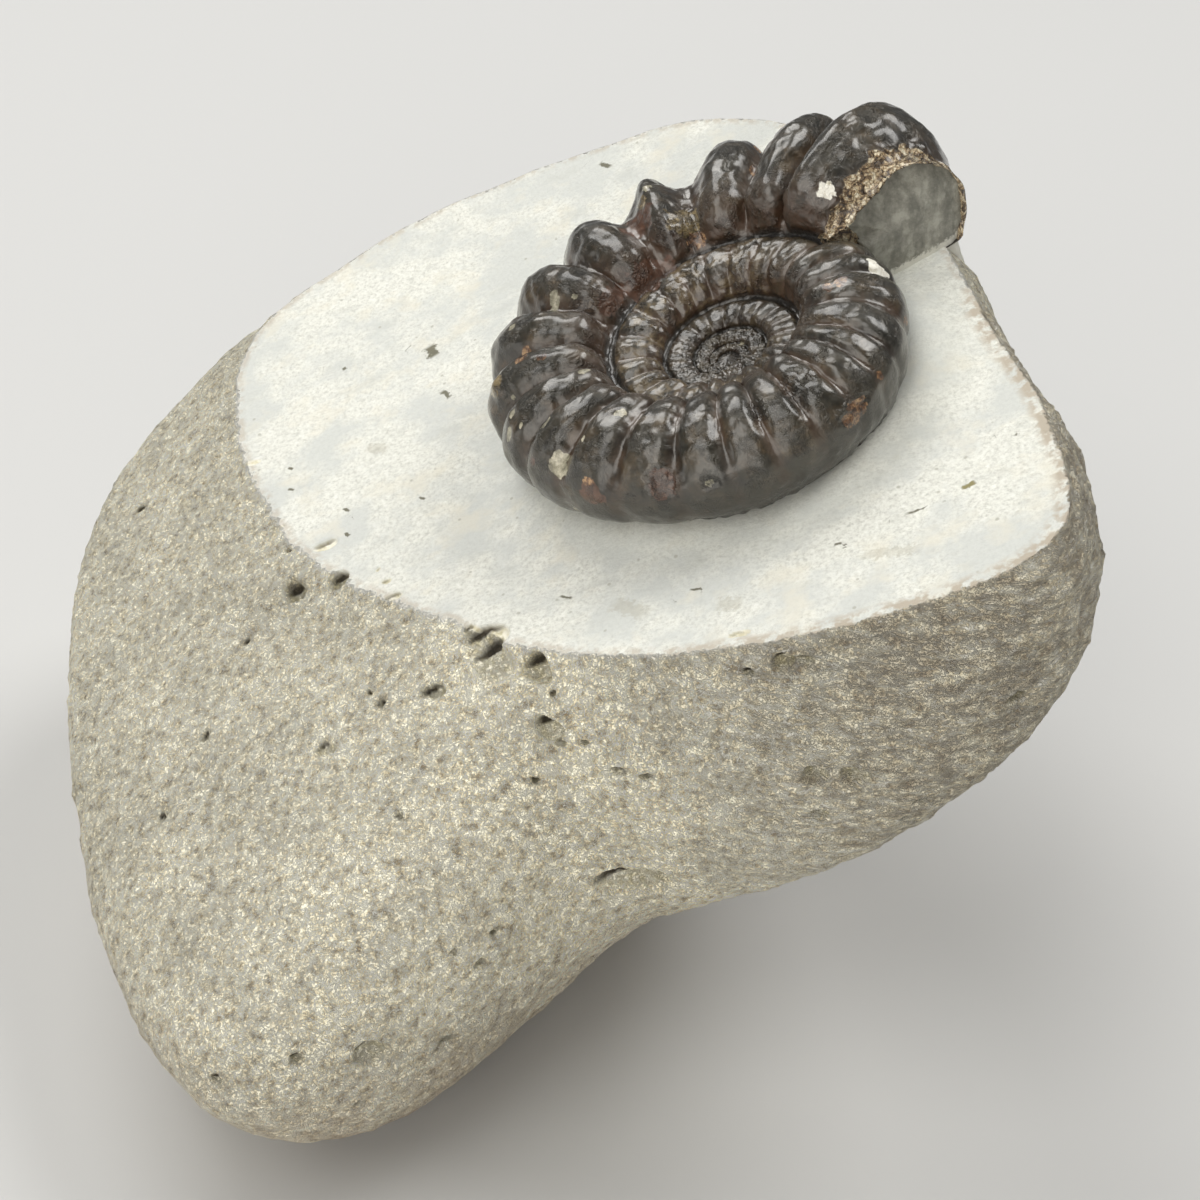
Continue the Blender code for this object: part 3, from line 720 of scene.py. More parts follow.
def eye_drop(back, angle):
    """How far the inner whorls lie below their place in the CAD model, in millimetres."""
    own = np.interp(back, *EYE_DROP)
    inner = np.interp(back + 360.0, *EYE_DROP)
    degrees = np.degrees(angle)
    share = smooth_step(degrees, 108, 151)
    return (own * (1 - share) + inner * share) * smooth_step(degrees, -10, 35)


def whorl_point(back, angle, inset=0.0):
    """Points of the shell's surface, at angles round the whorl from its outer side upwards."""
    back, angle = np.broadcast_arrays(np.asarray(back, float), np.asarray(angle, float))
    azimuth, middle = coil(back)
    half = HALF_WIDTH * middle * half_width_gain(back)
    swell = 1.0 + rib_relief(back, angle)[0]
    turned = np.where(angle >= 0, angle, angle * np.interp(back, *TUCK))
    radius = middle + half * swell * np.cos(turned) - inset * np.cos(angle)
    x, y = radius * np.cos(azimuth), radius * np.sin(azimuth)
    top = HALF_HEIGHT * middle * swell * np.sin(angle)
    foot = (face_height(x, y) + FOOT_SINK) * np.sin(angle) / math.sin(FOOT)
    height = np.where(angle >= 0, top, foot) - inset * np.maximum(np.sin(angle), 0.0) - eye_drop(back, angle)
    return np.stack([x, y, height], axis=-1)


def break_wall(angle):
    """Thickness of the broken wall."""
    return np.interp(np.degrees(angle), *BREAK_WALL)


def break_line(angle):
    """How many degrees back the broken edge lies."""
    degrees = np.degrees(angle)
    ragged = 0.45 * np.sin(degrees / 4.1) + 0.3 * np.sin(degrees / 1.9 + 1) + 0.18 * np.sin(degrees / 0.83)
    return np.interp(degrees, *BREAK_LINE) * (1 + 0.22 * ragged)


class Skin:
    """Collects the shell's points, their places on the coil, and its faces."""

    def __init__(self):
        self.points, self.places, self.masks, self.index, self.faces = [], [], [], {}, []

    def add(self, keys, points, back, angle, broken=0.0):
        """Points with their keys, degrees of turn back, angles round the whorl and share of the break."""
        back, angle, broken, _ = np.broadcast_arrays(back, angle, broken, np.zeros(len(keys)))
        for k, key in enumerate(keys):
            self.index[key] = len(self.points) + k
        self.points.extend(points)
        self.places.extend(zip(back, angle))
        self.masks.extend(broken)

    def strip(self, first, last, low, high):
        """Faces between neighbouring columns and rows of points."""
        at = self.index
        self.faces += [(at[(i, j)], at[(i, j + 1)], at[(i + 1, j + 1)], at[(i + 1, j)])
                       for i in range(first, last) for j in range(low, high)]

    def fan(self, middle, loop):
        """Faces from a point to a closed loop round it."""
        self.faces += [(self.index[middle], a, b) for a, b in zip(loop, loop[1:] + loop[:1])]

    def loop(self, keys):
        """The numbers of the points with these keys."""
        return [self.index[key] for key in keys]


def shell_skin():
    """The strip of each whorl that shows, the outer side, the broken edge and the underside, as one skin."""
    skin = Skin()
    step = 360.0 / STEPS_PER_TURN
    columns = round(SHELL_TURNS * STEPS_PER_TURN)
    side = ACROSS_TOP + DOWN_SIDE

    def place(i, angle):
        """Columns near the broken end are drawn back to its uneven edge."""
        near = max(0.0, 1.0 - i / BREAK_COLUMNS) ** 1.5
        return i * step + break_line(angle) * near

    top = SEAM_INNER + (SEAM_OUTER - SEAM_INNER) * np.arange(ACROSS_TOP + 1) / ACROSS_TOP
    down = SEAM_OUTER + (FOOT - SEAM_OUTER) * np.arange(1, DOWN_SIDE + 1) / DOWN_SIDE
    for i in range(columns + 1):
        low = 0 if i + STEPS_PER_TURN > columns else 1
        back = place(i, top[low:])
        skin.add([(i, j) for j in range(low, ACROSS_TOP + 1)], whorl_point(back, top[low:]), back, top[low:])
    for i in range(columns + 1 - STEPS_PER_TURN):
        skin.index[(i, 0)] = skin.index[(i + STEPS_PER_TURN, ACROSS_TOP)]
    for i in range(STEPS_PER_TURN + 1):
        back = place(i, down)
        skin.add([(i, ACROSS_TOP + j + 1) for j in range(DOWN_SIDE)], whorl_point(back, down), back, down)
    skin.strip(0, columns, 0, ACROSS_TOP)
    skin.strip(0, STEPS_PER_TURN, ACROSS_TOP, side)

    # Eye of the coil
    _, eye = coil(360.0 * SHELL_TURNS - 180)
    eye_top = np.array([0.05, 0.0, HALF_HEIGHT * eye * 0.9 - EYE_DROP[1][-1]])
    skin.add(["eye"], [eye_top], 360.0 * SHELL_TURNS, math.pi / 2)
    keys = [(i, 0) for i in range(columns - STEPS_PER_TURN, columns + 1)]
    skin.fan("eye", skin.loop(keys + [(columns, j) for j in range(1, ACROSS_TOP)]))

    # Broken edge: a bevel through the wall's thickness, then a hidden inner end behind the sediment
    angles = np.concatenate([top, down])
    seam_taper = smooth_step(SEAM_INNER - angles, 0.0, 0.25)
    before = skin.loop((0, j) for j in range(side + 1))
    before += skin.loop((STEPS_PER_TURN, ACROSS_TOP + j) for j in range(DOWN_SIDE, 0, -1))
    back_side = down[::-1]
    for k in range(1, BREAK_RINGS + 2):
        share = min(k / BREAK_RINGS, 1.0)
        last = k == BREAK_RINGS + 1
        back = break_line(angles) * (1 - share ** 1.2) + (BREAK_BACK if last else 0.25) * share
        inset = (break_wall(angles) * share + (0.3 if last else 0.0)) * seam_taper
        edge = whorl_point(back, angles, inset)
        edge[0] = whorl_point(360.0 + back[0], SEAM_OUTER)
        inner_back = np.full(len(back_side), 360.0 + (BREAK_BACK if last else 0.6 * share))
        inner = whorl_point(inner_back, back_side)
        keys = [("break", k, j) for j in range(len(angles) + len(back_side))]
        skin.add(keys, np.concatenate([edge, inner]), np.concatenate([back, inner_back]),
                 np.concatenate([angles, back_side]), 1.0)
        now = skin.loop(keys)
        after = [*range(1, len(now)), 0]
        skin.faces += [(before[j], now[j], now[k], before[k]) for j, k in enumerate(after)]
        before = now
    azimuth, middle = coil(BREAK_BACK)
    inside = middle * np.array([math.cos(azimuth), math.sin(azimuth), 0.0])
    skin.add(["inside"], [inside], BREAK_BACK, 0.0, 1.0)
    skin.fan("inside", before)

    # Underside, a little below the face of the stone
    for i in range(STEPS_PER_TURN + 1, 2 * STEPS_PER_TURN + 1):
        skin.add([(i, side)], [whorl_point(i * step, FOOT)], i * step, FOOT)
    for i in range(STEPS_PER_TURN):
        turn = (i, i + 1, i + 1 + STEPS_PER_TURN, i + STEPS_PER_TURN)
        skin.faces.append(tuple(skin.loop((k, side) for k in turn)))
    under = np.array([*UNDER_MIDDLE, float(face_height(*UNDER_MIDDLE)) + FOOT_SINK])
    skin.add(["under"], [under], 400.0, FOOT)
    skin.fan("under", skin.loop((i, side) for i in range(STEPS_PER_TURN, 2 * STEPS_PER_TURN + 1)))
    return skin


def patch_masks(points, tree):
    """How strongly each kind of patch covers each point, with ragged edges."""
    masks = {kind: np.zeros(len(points)) for kind in PATCHES}
    warp = 0.42 * rough(points, 0.7, 3, 9.1)
    for kind, patches in PATCHES.items():
        for x, y, radius, stretch in patches:
            hit = seen_point(tree, x, y)
            if hit is None:
                continue
            spot, normal = hit
            along = np.cross([0, 0, 1.0], [spot[0], spot[1], 0.0])
            along -= normal * (along @ normal)
            along /= np.linalg.norm(along)
            across = np.cross(normal, along)
            away = points - spot
            distance = np.sqrt((away @ along / stretch) ** 2 + (away @ across) ** 2 + (away @ normal) ** 2)
            masks[kind] = np.maximum(masks[kind], 1 - smooth_step(distance / radius + warp, 0.75, 1.15))
    return masks


def shell_relief(points, back, angle, broken, masks, seam, arc):
    """How far each point of the shell is moved out, for its seams, lines, dents, chips and rough places."""
    _, middle = coil(back)
    degrees = np.degrees(angle)
    scale = np.clip(middle / COIL_RADIUS, 0.15, 1.0)
    lirae = rough(arc * GROWTH_STRETCH, 0.55, 2, 4.0)
    dents = rough(points, 2.2, 2, 1.3)
    worn = rough(points, 0.9, 3, 2.9)
    crinkle = 1 - 2 * np.abs(rough(points, 0.75, 2, 5.5))
    hammered = 1 - 2 * np.abs(rough(points, 1.7, 2, 12.5))
    on_top = smooth_step(degrees, 30, 60)
    relief = (0.04 * lirae + 0.20 * dents + 0.13 * hammered * on_top) * scale
    top_of_inner = smooth_step(back, 355, 380) * (1 - 0.45 * smooth_step(back, 470, 500))
    relief += 0.26 * worn * top_of_inner * scale
    relief += -0.20 * masks["rough"] + 0.15 * masks["rough"] * crinkle
    relief += -0.07 * masks["cream"] + 0.05 * masks["orange"] * crinkle
    relief += 0.30 * rough(points, 0.9, 3, 15.1) * smooth_step(back, 760, 1000)
    shoulder = np.exp(-((degrees - SHOULDER_PLACE) / SHOULDER_WIDTH) ** 2)
    wave = rib_relief(back, angle)[1]
    relief += SHOULDER_RISE * middle * shoulder * (0.55 + 0.45 * wave) * (broken < 0.5)
    relief -= SEAM_CUT * seam * whorl_scale(middle)
    relief += broken * 0.14 * rough(points, 0.6, 3, 3.3)
    relief[(broken > 0.5) & (back > 5)] = 0.0
    foot = smooth_step(-degrees, 25, 44) * (back < 361)
    return relief + foot * 0.25 * rough(points, 1.1, 2, 8.1) * (degrees > -45.9)


def whorl_scale(middle):
    """Size of the details of a whorl of this radius."""
    return np.clip(middle / 14.0, 0.12, 1.0)


def build_shell(material):
    """The coil at full resolution, with seams, growth lines, chipped patches and its broken end."""
    skin = shell_skin()
    points = np.array(skin.points, float)
    back, angle = np.array(skin.places, float).T
    broken = np.array(skin.masks, float)
    mesh = solid("ammonite", points, skin.faces)
    tree = BVHTree.FromPolygons(points.tolist(), skin.faces)
    masks = patch_masks(points, tree)

    _, middle = coil(back)
    width = HALF_WIDTH * middle
    to_inner = (SEAM_INNER - angle) * width
    to_outer = np.where((angle > SEAM_OUTER - 0.01) & (back > 359.5), (angle - SEAM_OUTER) * width, 99.0)
    seam_distance = np.minimum(np.abs(to_inner), np.abs(to_outer))
    seam = np.exp(-(seam_distance / (SEAM_REACH * whorl_scale(middle))) ** 2) * (broken < 0.5)

    # Places along the growth of the shell, for lines that follow the ribs
    arc = np.stack([back / 360.0 * 2 * math.pi * middle, angle * width, middle], axis=-1)
    moved = points + normals(mesh) * shell_relief(points, back, angle, broken, masks, seam, arc)[:, None]
    for x, y, radius, height in LUMPS:
        hit = seen_point(tree, x, y)
        if hit is None:
            continue
        spot, normal = hit
        distance = np.linalg.norm(points - spot, axis=1) / radius
        moved += normal * (height * np.clip(1 - distance ** 2, 0, 1) ** 1.5)[:, None]

    set_coordinates(mesh, to_world(moved))
    float_layers(mesh, {
        **masks, "seam": seam, "gap": 1 - rib_relief(back, angle)[1], "broken": broken,
        "inner": smooth_step(back, 340, 420), "eye": smooth_step(back, 560, 760),
        "height": np.degrees(angle) / 90.0})
    growth = mesh.attributes.new("growth", "FLOAT_VECTOR", "POINT")
    growth.data.foreach_set("vector", np.ascontiguousarray(arc, np.float32).ravel())
    return show_piece("ammonite_shell", mesh, material, "ammonite")


def build_sediment(material):
    """The hardened mud that fills the broken end of the shell."""
    azimuth, middle = coil(0.0)
    along = np.array([math.cos(azimuth), math.sin(azimuth), 0.0])
    inward = np.array([-math.sin(azimuth), math.cos(azimuth), 0.0])
    angles = np.linspace(FILL_TURN, FOOT, 110)
    edge = whorl_point(0.0, angles, break_wall(angles) - FILL_OVERLAP)
    outline = [(p @ along, p[2]) for p in edge]
    outline.append((outline[-1][0], FILL_CORNER[0][1]))
    corner = [(radius - 0.2, height) for radius, height in FILL_CORNER]
    outline = np.array(outline + corner + [outline[0]])
    length = np.concatenate([[0], np.cumsum(np.linalg.norm(np.diff(outline, axis=0), axis=1))])
    spaced = np.linspace(0, length[-1], FILL_ROUND, endpoint=False)
    outline = np.stack([np.interp(spaced, length, outline[:, k]) for k in (0, 1)], axis=-1)
    centre = outline.mean(axis=0)

    # Rings from the middle of the front to its outline, then straight back behind it
    fronts = np.linspace(0.02, 1.0, FILL_FRONT_RINGS)
    backs = np.linspace(*FILL_BACK, FILL_BACK_RINGS)
    rings = [(share, FILL_FRONT + 0.25 * share ** 6) for share in fronts] + [(1.0, depth) for depth in backs]
    shares = np.repeat([share for share, _ in rings], FILL_ROUND)
    flat = np.concatenate([
        np.concatenate([centre + (outline - centre) * share, np.full((FILL_ROUND, 1), depth)], axis=1)
        for share, depth in rings])
    points = flat[:, :1] * along + flat[:, 2:] * inward + flat[:, 1:2] * np.array([0.0, 0.0, 1.0])
    streak = rough(np.stack([flat[:, 0] / 0.8, flat[:, 1] / 6, flat[:, 2]], axis=-1), 1.0, 2, 3.0)
    relief = layered(points, SEDIMENT_RELIEF) + 0.05 * streak
    points -= inward * (relief * (flat[:, 2] < 0.6))[:, None]

    # The front leans back with the broken edge
    turned = np.degrees(np.arctan2(flat[:, 1] / HALF_HEIGHT, (flat[:, 0] - middle) / HALF_WIDTH))
    leaned = np.radians(np.interp(turned, *BREAK_LINE)) * flat[:, 0]
    leaned = np.where(turned < math.degrees(FOOT), 0.0, leaned)
    points += inward * (leaned * smooth_step(shares, 0.0, 1.0))[:, None]

    numbers = np.arange(len(points)).reshape(len(rings), FILL_ROUND)
    after = np.roll(numbers, -1, axis=1)
    quads = np.stack([numbers[:-1], after[:-1], after[1:], numbers[1:]], axis=-1).reshape(-1, 4)
    faces = [*quads.tolist(), numbers[0].tolist(), numbers[-1].tolist()]
    mesh = solid("chamber_sediment", to_world(points), faces)
    float_layers(mesh, {"above_face": points[:, 2] - face_height(points[:, 0], points[:, 1])})
    return show_piece("chamber_sediment", mesh, material, "matrix_stone")


# Materials

class Finish:
    """One node material, with short calls for the nodes it is made of. Sizes are in millimetres."""

    def __init__(self, name):
        self.material = bpy.data.materials.new(name)
        self.material.use_nodes = True
        self.tree = self.material.node_tree
        self.shader = self.tree.nodes["Principled BSDF"]
        self.place = self.scaled(self.node("ShaderNodeTexCoord").outputs["Object"], (1 / MM,) * 3)

    def node(self, kind, inputs=None, **settings):
        """A new node with these inputs, each a value or another node's output."""
        made = self.tree.nodes.new(kind)
        for key, value in settings.items():
            setattr(made, key, value)
        for key, value in (inputs or {}).items():
            self.set(made.inputs[key], value)
        return made

    def set(self, socket, value):
        if isinstance(value, bpy.types.NodeSocket):
            self.tree.links.new(value, socket)
        elif isinstance(value, tuple) and socket.type == "RGBA":
            socket.default_value = (*value, 1.0)
        else:
            socket.default_value = value

    def scaled(self, vector, factor):
        return self.node("ShaderNodeVectorMath", {0: vector, 1: factor}, operation="MULTIPLY").outputs[0]

    def maths(self, operation, a, b=0.0):
        return self.node("ShaderNodeMath", {0: a, 1: b}, operation=operation).outputs[0]

    def times(self, a, b):
        return self.maths("MULTIPLY", a, b)

    def plus(self, a, b):
        return self.maths("ADD", a, b)

    def from_middle(self, wave):
        """How far a noise is from its middle."""
        return self.maths("ABSOLUTE", self.maths("SUBTRACT", wave, 0.5))

    def value(self, name):
        """The number stored for each point under this name."""
        return self.node("ShaderNodeAttribute", attribute_name=name).outputs["Fac"]

    def grain(self, size, detail=4.0, roughness=0.6, vector=None, distortion=0.0):
        return self.node("ShaderNodeTexNoise", {
            "Vector": vector or self.place, "Scale": 1 / size, "Detail": detail, "Roughness": roughness,
            "Distortion": distortion}).outputs["Fac"]

    def cells(self, size, output="Distance", feature="F1"):
        return self.node("ShaderNodeTexVoronoi", {"Vector": self.place, "Scale": 1 / size},
                         feature=feature).outputs[output]

    def range(self, value, low, high, to_low=0.0, to_high=1.0):
        return self.node("ShaderNodeMapRange", {"Value": value, "From Min": low, "From Max": high,
                                                "To Min": to_low, "To Max": to_high}).outputs["Result"]

    def ramp(self, value, *stops):
        made = self.node("ShaderNodeValToRGB", {"Fac": value})
        line = made.color_ramp
        while len(line.elements) < len(stops):
            line.elements.new(0.5)
        for element, (place, colour) in zip(line.elements, stops):
            element.position = place
            element.color = (*colour, 1.0)
        return made.outputs["Color"]

    def mix(self, share, a, b, blend="MIX"):
        made = self.node("ShaderNodeMix", data_type="RGBA", blend_type=blend)
        for socket, value in ((made.inputs["Factor"], share), (made.inputs[6], a), (made.inputs[7], b)):
            self.set(socket, value)
        return made.outputs[2]

    def wear(self, colour, roughness, height, distance, strength=1.0, **fixed):
        """Gives the shader its colour, roughness, relief and the values that are the same all over."""
        relief = {"Height": height, "Distance": distance * MM, "Strength": strength}
        self.set(self.shader.inputs["Base Color"], colour)
        self.set(self.shader.inputs["Roughness"], roughness)
        self.set(self.shader.inputs["Normal"], self.node("ShaderNodeBump", relief).outputs["Normal"])
        for key, value in fixed.items():
            self.shader.inputs[key.replace("_", " ")].default_value = value
        return self.material


def limestone():
    """Sandy natural surface, pale prepared face, whitish rim line, tan edge and pale-floored pits; painted
    shade on the pits' upper walls and on the face next to the shell, painted shade and reflection towards
    the bottom, and painted light on the front.
    """
    f = Finish("grey_limestone_finish")
    edge, pit, bedding = (f.value(name) for name in ("edge", "pit", "bedding"))
    ragged = f.plus(edge, f.range(f.grain(0.6, 4), 0.3, 0.7, -0.35, 0.35))
    prepared = f.range(ragged, -0.12, 0.12)

    stretched = f.scaled(f.place, (0.30, 0.30, 1.0))
    streaks = f.grain(0.9, 4, 0.65, stretched)
    sand = f.grain(0.34, 3, 0.8)
    grit = f.grain(1.1, 5, 0.75)
    loose = f.grain(0.75, 4, 0.62, None, 0.3)
    bedded = f.grain(0.62, 4, 0.62, stretched, 0.5)
    wave = f.plus(loose, f.times(bedding, f.maths("SUBTRACT", bedded, loose)))
    fibres = f.maths("MAXIMUM", f.range(f.from_middle(wave), 0.0, 0.04, 1.0, 0.0),
                     f.range(f.from_middle(sand), 0.0, 0.04, 0.85, 0.0))
    ground = f.ramp(grit, (0.36, (0.26, 0.205, 0.125)), (0.44, (0.62, 0.55, 0.38)),
                           (0.51, (0.87, 0.80, 0.59)), (0.58, (1.0, 0.96, 0.77)))
    natural = f.mix(fibres, ground, (1.0, 1.0, 0.92))
    patches = f.range(f.grain(7.0, 4), 0.35, 0.65, 0.98, 1.20)
    # Painted light: the natural surface is painted up to a sixth brighter on its front, as if lit there
    patches = f.times(patches, f.range(f.value("front"), 0.0, 1.0, 0.98, 1.16))
    grey = f.node("ShaderNodeCombineColor", {0: patches, 1: patches, 2: patches}).outputs[0]
    natural = f.mix(1.0, natural, grey, "MULTIPLY")
    cream = f.range(f.grain(3.2, 3), 0.52, 0.68, 0.0, 0.4)
    natural = f.mix(f.times(cream, 0.5), natural, (0.86, 0.80, 0.64))
    # Painted shade and reflection: towards the bottom the natural surface is painted darker and browner, in
    # patches
    lift = f.node("ShaderNodeSeparateXYZ", {0: f.place}).outputs["Z"]
    low = f.times(f.range(lift, 22.0, 4.0), f.range(f.grain(4.0, 3), 0.35, 0.6, 0.3, 0.75))
    natural = f.mix(low, natural, (0.50, 0.37, 0.26))
    dark_streak = f.times(f.range(streaks, 0.42, 0.58, 0.55, 0.0), bedding)
    natural = f.mix(dark_streak, natural, (0.24, 0.20, 0.155))
    natural = f.mix(f.times(bedding, 0.30), natural, (0.40, 0.345, 0.275))

    fine = f.grain(0.42, 5, 0.8)
    clouds = f.grain(9.0, 4)
    face = f.ramp(fine, (0.34, (0.60, 0.60, 0.54)), (0.47, (0.79, 0.79, 0.72)), (0.53, (0.86, 0.865, 0.79)),
                         (0.66, (0.96, 0.96, 0.90)))
    face = f.mix(f.range(clouds, 0.43, 0.58, 0.0, 0.75), face, (0.66, 0.68, 0.65))
    face = f.mix(f.range(f.grain(5.0, 3), 0.54, 0.70, 0.0, 0.5), face, (0.84, 0.80, 0.67))
    wisps = f.grain(2.2, 4, 0.6, f.scaled(f.place, (0.45, 1.0, 1.0)))
    face = f.mix(f.range(wisps, 0.56, 0.70, 0.0, 0.4), face, (0.60, 0.61, 0.56))
    # Painted shade: the face is painted darker right next to the shell, as the shell's shadow
    face = f.mix(f.range(f.value("shell_shade_distance"), -2.0, 1.5, 0.35, 0.0), face, (0.55, 0.56, 0.50))
    frayed = f.range(f.grain(0.45, 3), 0.3, 0.7, -0.7, 0.7)
    frayed = f.plus(f.maths("ABSOLUTE", f.value("mark_across")), frayed)
    mark = f.range(f.maths("MAXIMUM", frayed, f.maths("ABSOLUTE", f.value("mark_along"))), 1.15, 0.7)
    for kind, strength, tint in (("faint", 0.35, (0.46, 0.43, 0.33)), ("dark", 0.9, (0.14, 0.13, 0.08)),
                                 ("ochre", 0.8, (0.34, 0.30, 0.13)), ("pale", 0.8, (0.97, 0.97, 0.93))):
        share = f.times(f.times(mark, f.range(f.value(kind), 0.5, 0.9)), strength)
        face = f.mix(share, face, tint)
    face = f.mix(f.range(f.cells(2.6), 0.05, 0.085, 0.6, 0.0), face, (0.42, 0.41, 0.34))
    band = f.times(edge, f.range(bedding, 0.0, 1.0, 1.0, 0.5))
    tan = f.times(f.range(band, 1.0, 0.45), f.range(f.grain(1.2, 3), 0.42, 0.56))
    face = f.mix(f.times(tan, f.range(bedding, 0.0, 1.0, 0.55, 0.95)), face, (0.54, 0.475, 0.38))
    from_rim = f.maths("ABSOLUTE", f.plus(ragged, 0.1))
    white = f.times(f.range(from_rim, 0.10, 0.30, 0.75, 0.0), f.maths("SUBTRACT", 1.0, bedding))
    colour = f.mix(prepared, natural, face)
    colour = f.mix(white, colour, (0.90, 0.90, 0.85))
    floor = f.mix(f.range(f.grain(0.8, 3), 0.42, 0.58), (0.74, 0.68, 0.46), (1.0, 0.96, 0.80))
    colour = f.mix(f.times(f.range(pit, 0.3, 0.9), 0.85), colour, floor)
    # Painted shade: the pits' upper walls are painted nearly black, as shadow
    colour = f.mix(f.range(f.value("pit_painted_shade"), 0.2, 0.85, 0.0, 0.95), colour, (0.040, 0.030, 0.018))

    ridges = f.plus(f.times(fibres, 0.45), f.times(grit, 0.9))
    height = f.mix(prepared, ridges, f.plus(f.times(fine, 0.18), 0.5))
    return f.wear(colour, f.range(prepared, 0.0, 1.0, 0.92, 0.78), height, 0.50, Specular_IOR_Level=0.3)


def calcite():
    """Dark glossy calcite: browner in the gaps, greyer on the crests, with pale and rusty patches, and
    painted shade in the seams, in the eye of the coil and towards the foot.
    """
    f = Finish("brown_calcite_finish")
    growth = f.node("ShaderNodeAttribute", attribute_name="growth").outputs["Vector"]
    gap, seam, broken, inner = (f.value(name) for name in ("gap", "seam", "broken", "inner"))
    lines = f.grain(0.5, 3, 0.6, f.scaled(growth, GROWTH_STRETCH))
    clouds = f.grain(3.0, 5, 0.65)
    mottle = f.grain(0.8, 4, 0.7)
    body = f.ramp(clouds, (0.38, (0.006, 0.005, 0.003)), (0.48, (0.015, 0.012, 0.006)),
                           (0.56, (0.038, 0.025, 0.012)), (0.66, (0.110, 0.078, 0.044)))
    greyer = f.times(f.range(gap, 0.5, 0.0), f.range(mottle, 0.35, 0.65, 0.1, 0.6))
    body = f.mix(greyer, body, (0.042, 0.039, 0.028))
    russet_gap = f.times(f.range(gap, 0.35, 0.9), f.range(clouds, 0.40, 0.60, 0.2, 0.85))
    body = f.mix(russet_gap, body, (0.065, 0.035, 0.019))
    body = f.mix(f.times(f.range(lines, 0.42, 0.62), 0.25), body, (0.07, 0.055, 0.036))
    wall = f.times(f.range(f.value("height"), 1.2, 1.5), f.range(mottle, 0.35, 0.6, 0.2, 0.9))
    body = f.mix(wall, body, (0.070, 0.036, 0.021))
    golden = f.times(inner, f.range(f.grain(1.4, 4, 0.7), 0.47, 0.62, 0.0, 0.75))
    body = f.mix(golden, body, (0.17, 0.125, 0.065))
    # Painted shade: the seams between the whorls are painted nearly black, as shadow
    body = f.mix(f.range(seam, 0.25, 0.9, 0.0, 0.9), body, (0.006, 0.004, 0.003))
    # Painted shade: the inner whorls in the eye of the coil are painted darker, as the deep middle is shaded
    body = f.mix(f.range(f.value("eye"), 0.0, 1.0, 0.0, 0.6), body, (0.012, 0.009, 0.005))
    # Painted shade: the shell is painted nearly black towards its foot, where it meets the stone; the same
    # share makes it rougher there
    near_foot = f.range(f.value("height"), 0.35, -0.25)
    body = f.mix(f.times(near_foot, 0.8), body, (0.009, 0.007, 0.004))

    def over(colour, name, tint, low=0.35, high=0.6):
        share = f.plus(f.value(name), f.range(mottle, 0.3, 0.7, -0.18, 0.18))
        return f.mix(f.range(share, low, high), colour, tint)

    rusty = f.ramp(mottle, (0.35, (0.045, 0.022, 0.013)), (0.65, (0.13, 0.06, 0.035)))
    orange = f.ramp(mottle, (0.40, (0.040, 0.018, 0.009)), (0.52, (0.15, 0.07, 0.03)),
                    (0.64, (0.50, 0.31, 0.16)))
    ochre = f.ramp(mottle, (0.35, (0.035, 0.024, 0.010)), (0.5, (0.13, 0.095, 0.042)),
                   (0.66, (0.34, 0.26, 0.13)))
    cream = f.ramp(mottle, (0.34, (0.12, 0.11, 0.075)), (0.5, (0.33, 0.31, 0.23)),
                   (0.66, (0.62, 0.58, 0.46)))
    white = f.ramp(mottle, (0.34, (0.62, 0.58, 0.46)), (0.50, (0.97, 0.95, 0.87)))
    crystals = f.node("ShaderNodeSeparateColor", {0: f.cells(0.30, "Color")}).outputs[0]
    golden_mix = f.plus(f.times(crystals, 0.12), f.grain(0.9, 5, 0.8, None, 0.8))
    gold = f.ramp(golden_mix, (0.47, (0.045, 0.026, 0.013)), (0.54, (0.24, 0.155, 0.08)),
                               (0.60, (0.55, 0.42, 0.25)), (0.68, (0.93, 0.85, 0.66)))
    colour = over(body, "russet", rusty)
    colour = over(colour, "ochre", ochre)
    colour = over(colour, "orange", orange)
    colour = f.mix(f.range(broken, 0.3, 0.8), colour, gold)
    colour = over(colour, "cream", cream)
    colour = over(colour, "white", white)

    crack = f.plus(f.range(f.cells(0.55, feature="DISTANCE_TO_EDGE"), 0.0, 0.12), f.times(crystals, 0.8))
    worn = f.maths("MAXIMUM", f.value("rough"), f.times(broken, 0.9))
    rough_height = f.times(f.plus(crack, f.grain(0.35, 3)), worn)
    crumple = f.from_middle(f.grain(0.85, 3, 0.6, None, 0.9))
    blocks = f.times(f.range(gap, 0.6, 0.2), f.range(f.grain(2.6, 2), 0.46, 0.56))
    rough_height = f.plus(rough_height, f.times(f.times(crumple, 9.0), blocks))
    wrinkles = f.from_middle(f.grain(1.9, 2, 0.45, None, 1.4))
    fine_height = f.plus(f.times(lines, 0.28), f.times(mottle, 0.10))
    fine_height = f.plus(fine_height, f.times(wrinkles, 1.3))
    height = f.plus(f.times(rough_height, 0.7), fine_height)
    roughness = f.range(f.grain(1.6, 4), 0.35, 0.65, 0.28, 0.52)
    roughness = f.plus(roughness, f.times(f.value("cream"), 0.25))
    roughness = f.plus(roughness, f.times(near_foot, 0.28))
    return f.wear(colour, roughness, height, 0.20, Coat_Weight=1.0, Coat_Roughness=0.21, IOR=1.6,
                  Coat_Tint=(1.0, 0.99, 0.96, 1.0), Specular_Tint=(1.0, 0.98, 0.94, 1.0))


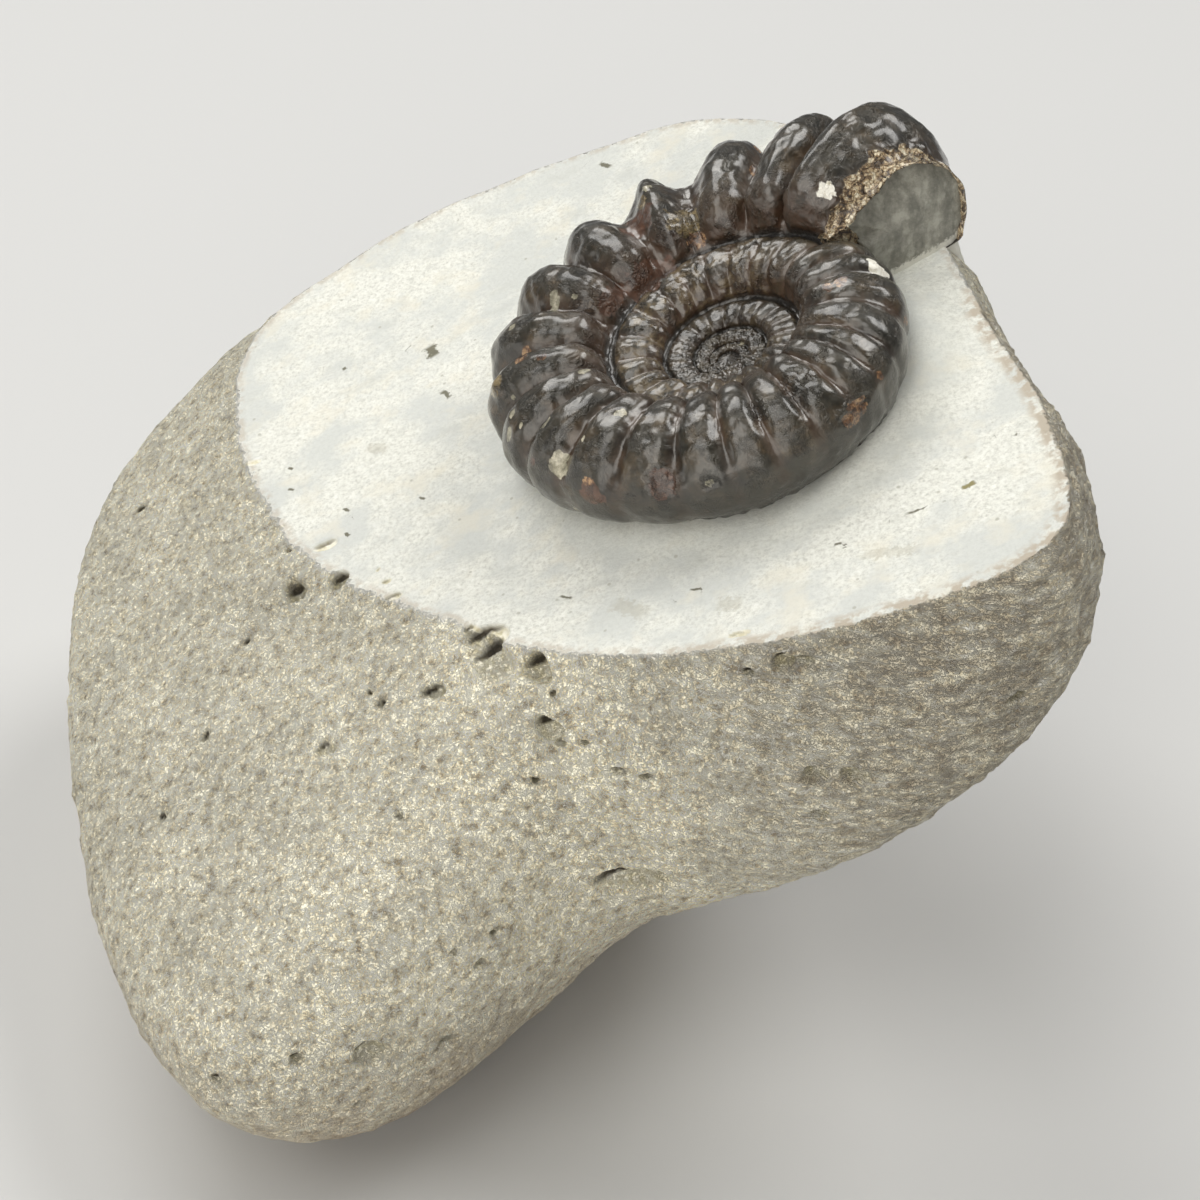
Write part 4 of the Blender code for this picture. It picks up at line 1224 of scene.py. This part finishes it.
def mudstone():
    """Dark grey sediment with soft streaks, paler where it meets the face."""
    f = Finish("chamber_sediment_finish")
    streaks = f.grain(1.1, 3, 0.5, f.scaled(f.place, (1.0, 1.0, 0.2)))
    speckle = f.grain(0.35, 4, 0.7)
    blotches = f.grain(1.8, 4, 0.7)
    blend = f.plus(f.times(streaks, 0.35), f.times(blotches, 0.65))
    colour = f.ramp(blend, (0.40, (0.18, 0.178, 0.15)), (0.5, (0.27, 0.265, 0.225)),
                    (0.60, (0.40, 0.395, 0.34)))
    colour = f.mix(f.range(speckle, 0.56, 0.70, 0.0, 0.4), colour, (0.42, 0.41, 0.36))
    pale = f.plus(f.value("above_face"), f.range(speckle, 0.3, 0.7, -0.3, 0.3))
    colour = f.mix(f.range(pale, 0.75, 0.45), colour, (0.70, 0.69, 0.62))
    return f.wear(colour, 0.62, speckle, 0.12, 0.7)


# Stage: floor, light and camera

def build_stage():
    """Plain pale floor, a weak even sky and the soft lamps."""
    bpy.context.scene.view_settings.view_transform = "Standard"
    world = bpy.data.worlds.new("studio")
    bpy.context.scene.world = world
    world.use_nodes = True
    background = world.node_tree.nodes["Background"]
    background.inputs["Color"].default_value = SKY_COLOUR
    background.inputs["Strength"].default_value = SKY_STRENGTH

    mesh = bpy.data.meshes.new("floor")
    signs = ((-1, -1), (1, -1), (1, 1), (-1, 1))
    corners = [(x * FLOOR_HALF, y * FLOOR_HALF, FLOOR_LEVEL) for x, y in signs]
    mesh.from_pydata(corners, [], [(0, 1, 2, 3)])
    floor = bpy.data.objects.new("floor", mesh)
    bpy.context.scene.collection.objects.link(floor)
    paint = bpy.data.materials.new("floor_paint")
    paint.use_nodes = True
    shader = paint.node_tree.nodes["Principled BSDF"]
    shader.inputs["Base Color"].default_value = FLOOR_COLOUR
    shader.inputs["Roughness"].default_value = 0.9
    mesh.materials.append(paint)

    middle = to_world([[0.0, 0.0, 0.0]])[0]
    for name, azimuth, elevation, distance, size, brightness, colour in LAMPS:
        light = bpy.data.lights.new(name, "AREA")
        light.shape = "DISK"
        light.size = size
        light.energy = brightness * math.pi * math.pi * size ** 2 / 4
        light.color = colour
        holder = bpy.data.objects.new(name, light)
        around, up = math.radians(azimuth), math.radians(elevation)
        flat = math.cos(up)
        way = LEAN @ np.array([math.cos(around) * flat, math.sin(around) * flat, math.sin(up)])
        holder.location = middle + way * distance
        holder.rotation_euler = Vector(way).to_track_quat("Z", "Y").to_euler()
        bpy.context.scene.collection.objects.link(holder)


def build_camera():
    """The camera at the photograph's place and lens."""
    camera = bpy.data.cameras.new("camera")
    camera.sensor_width = SENSOR
    camera.lens = FOCAL_PIXELS / PICTURE * SENSOR
    camera.clip_start = 0.01
    holder = bpy.data.objects.new("camera", camera)
    axes = [LEAN @ axis / np.linalg.norm(axis) for axis in (CAMERA_RIGHT, CAMERA_UP, CAMERA_TOWARD)]
    turn = Matrix([[float(axis[k]) for axis in axes] for k in range(3)])
    holder.matrix_world = Matrix.Translation(to_world([CAMERA_PLACE])[0]) @ turn.to_4x4()
    bpy.context.scene.collection.objects.link(holder)
    bpy.context.scene.camera = holder


build_camera()
build_stage()
build_stone(limestone())
build_shell(calcite())
build_sediment(mudstone())
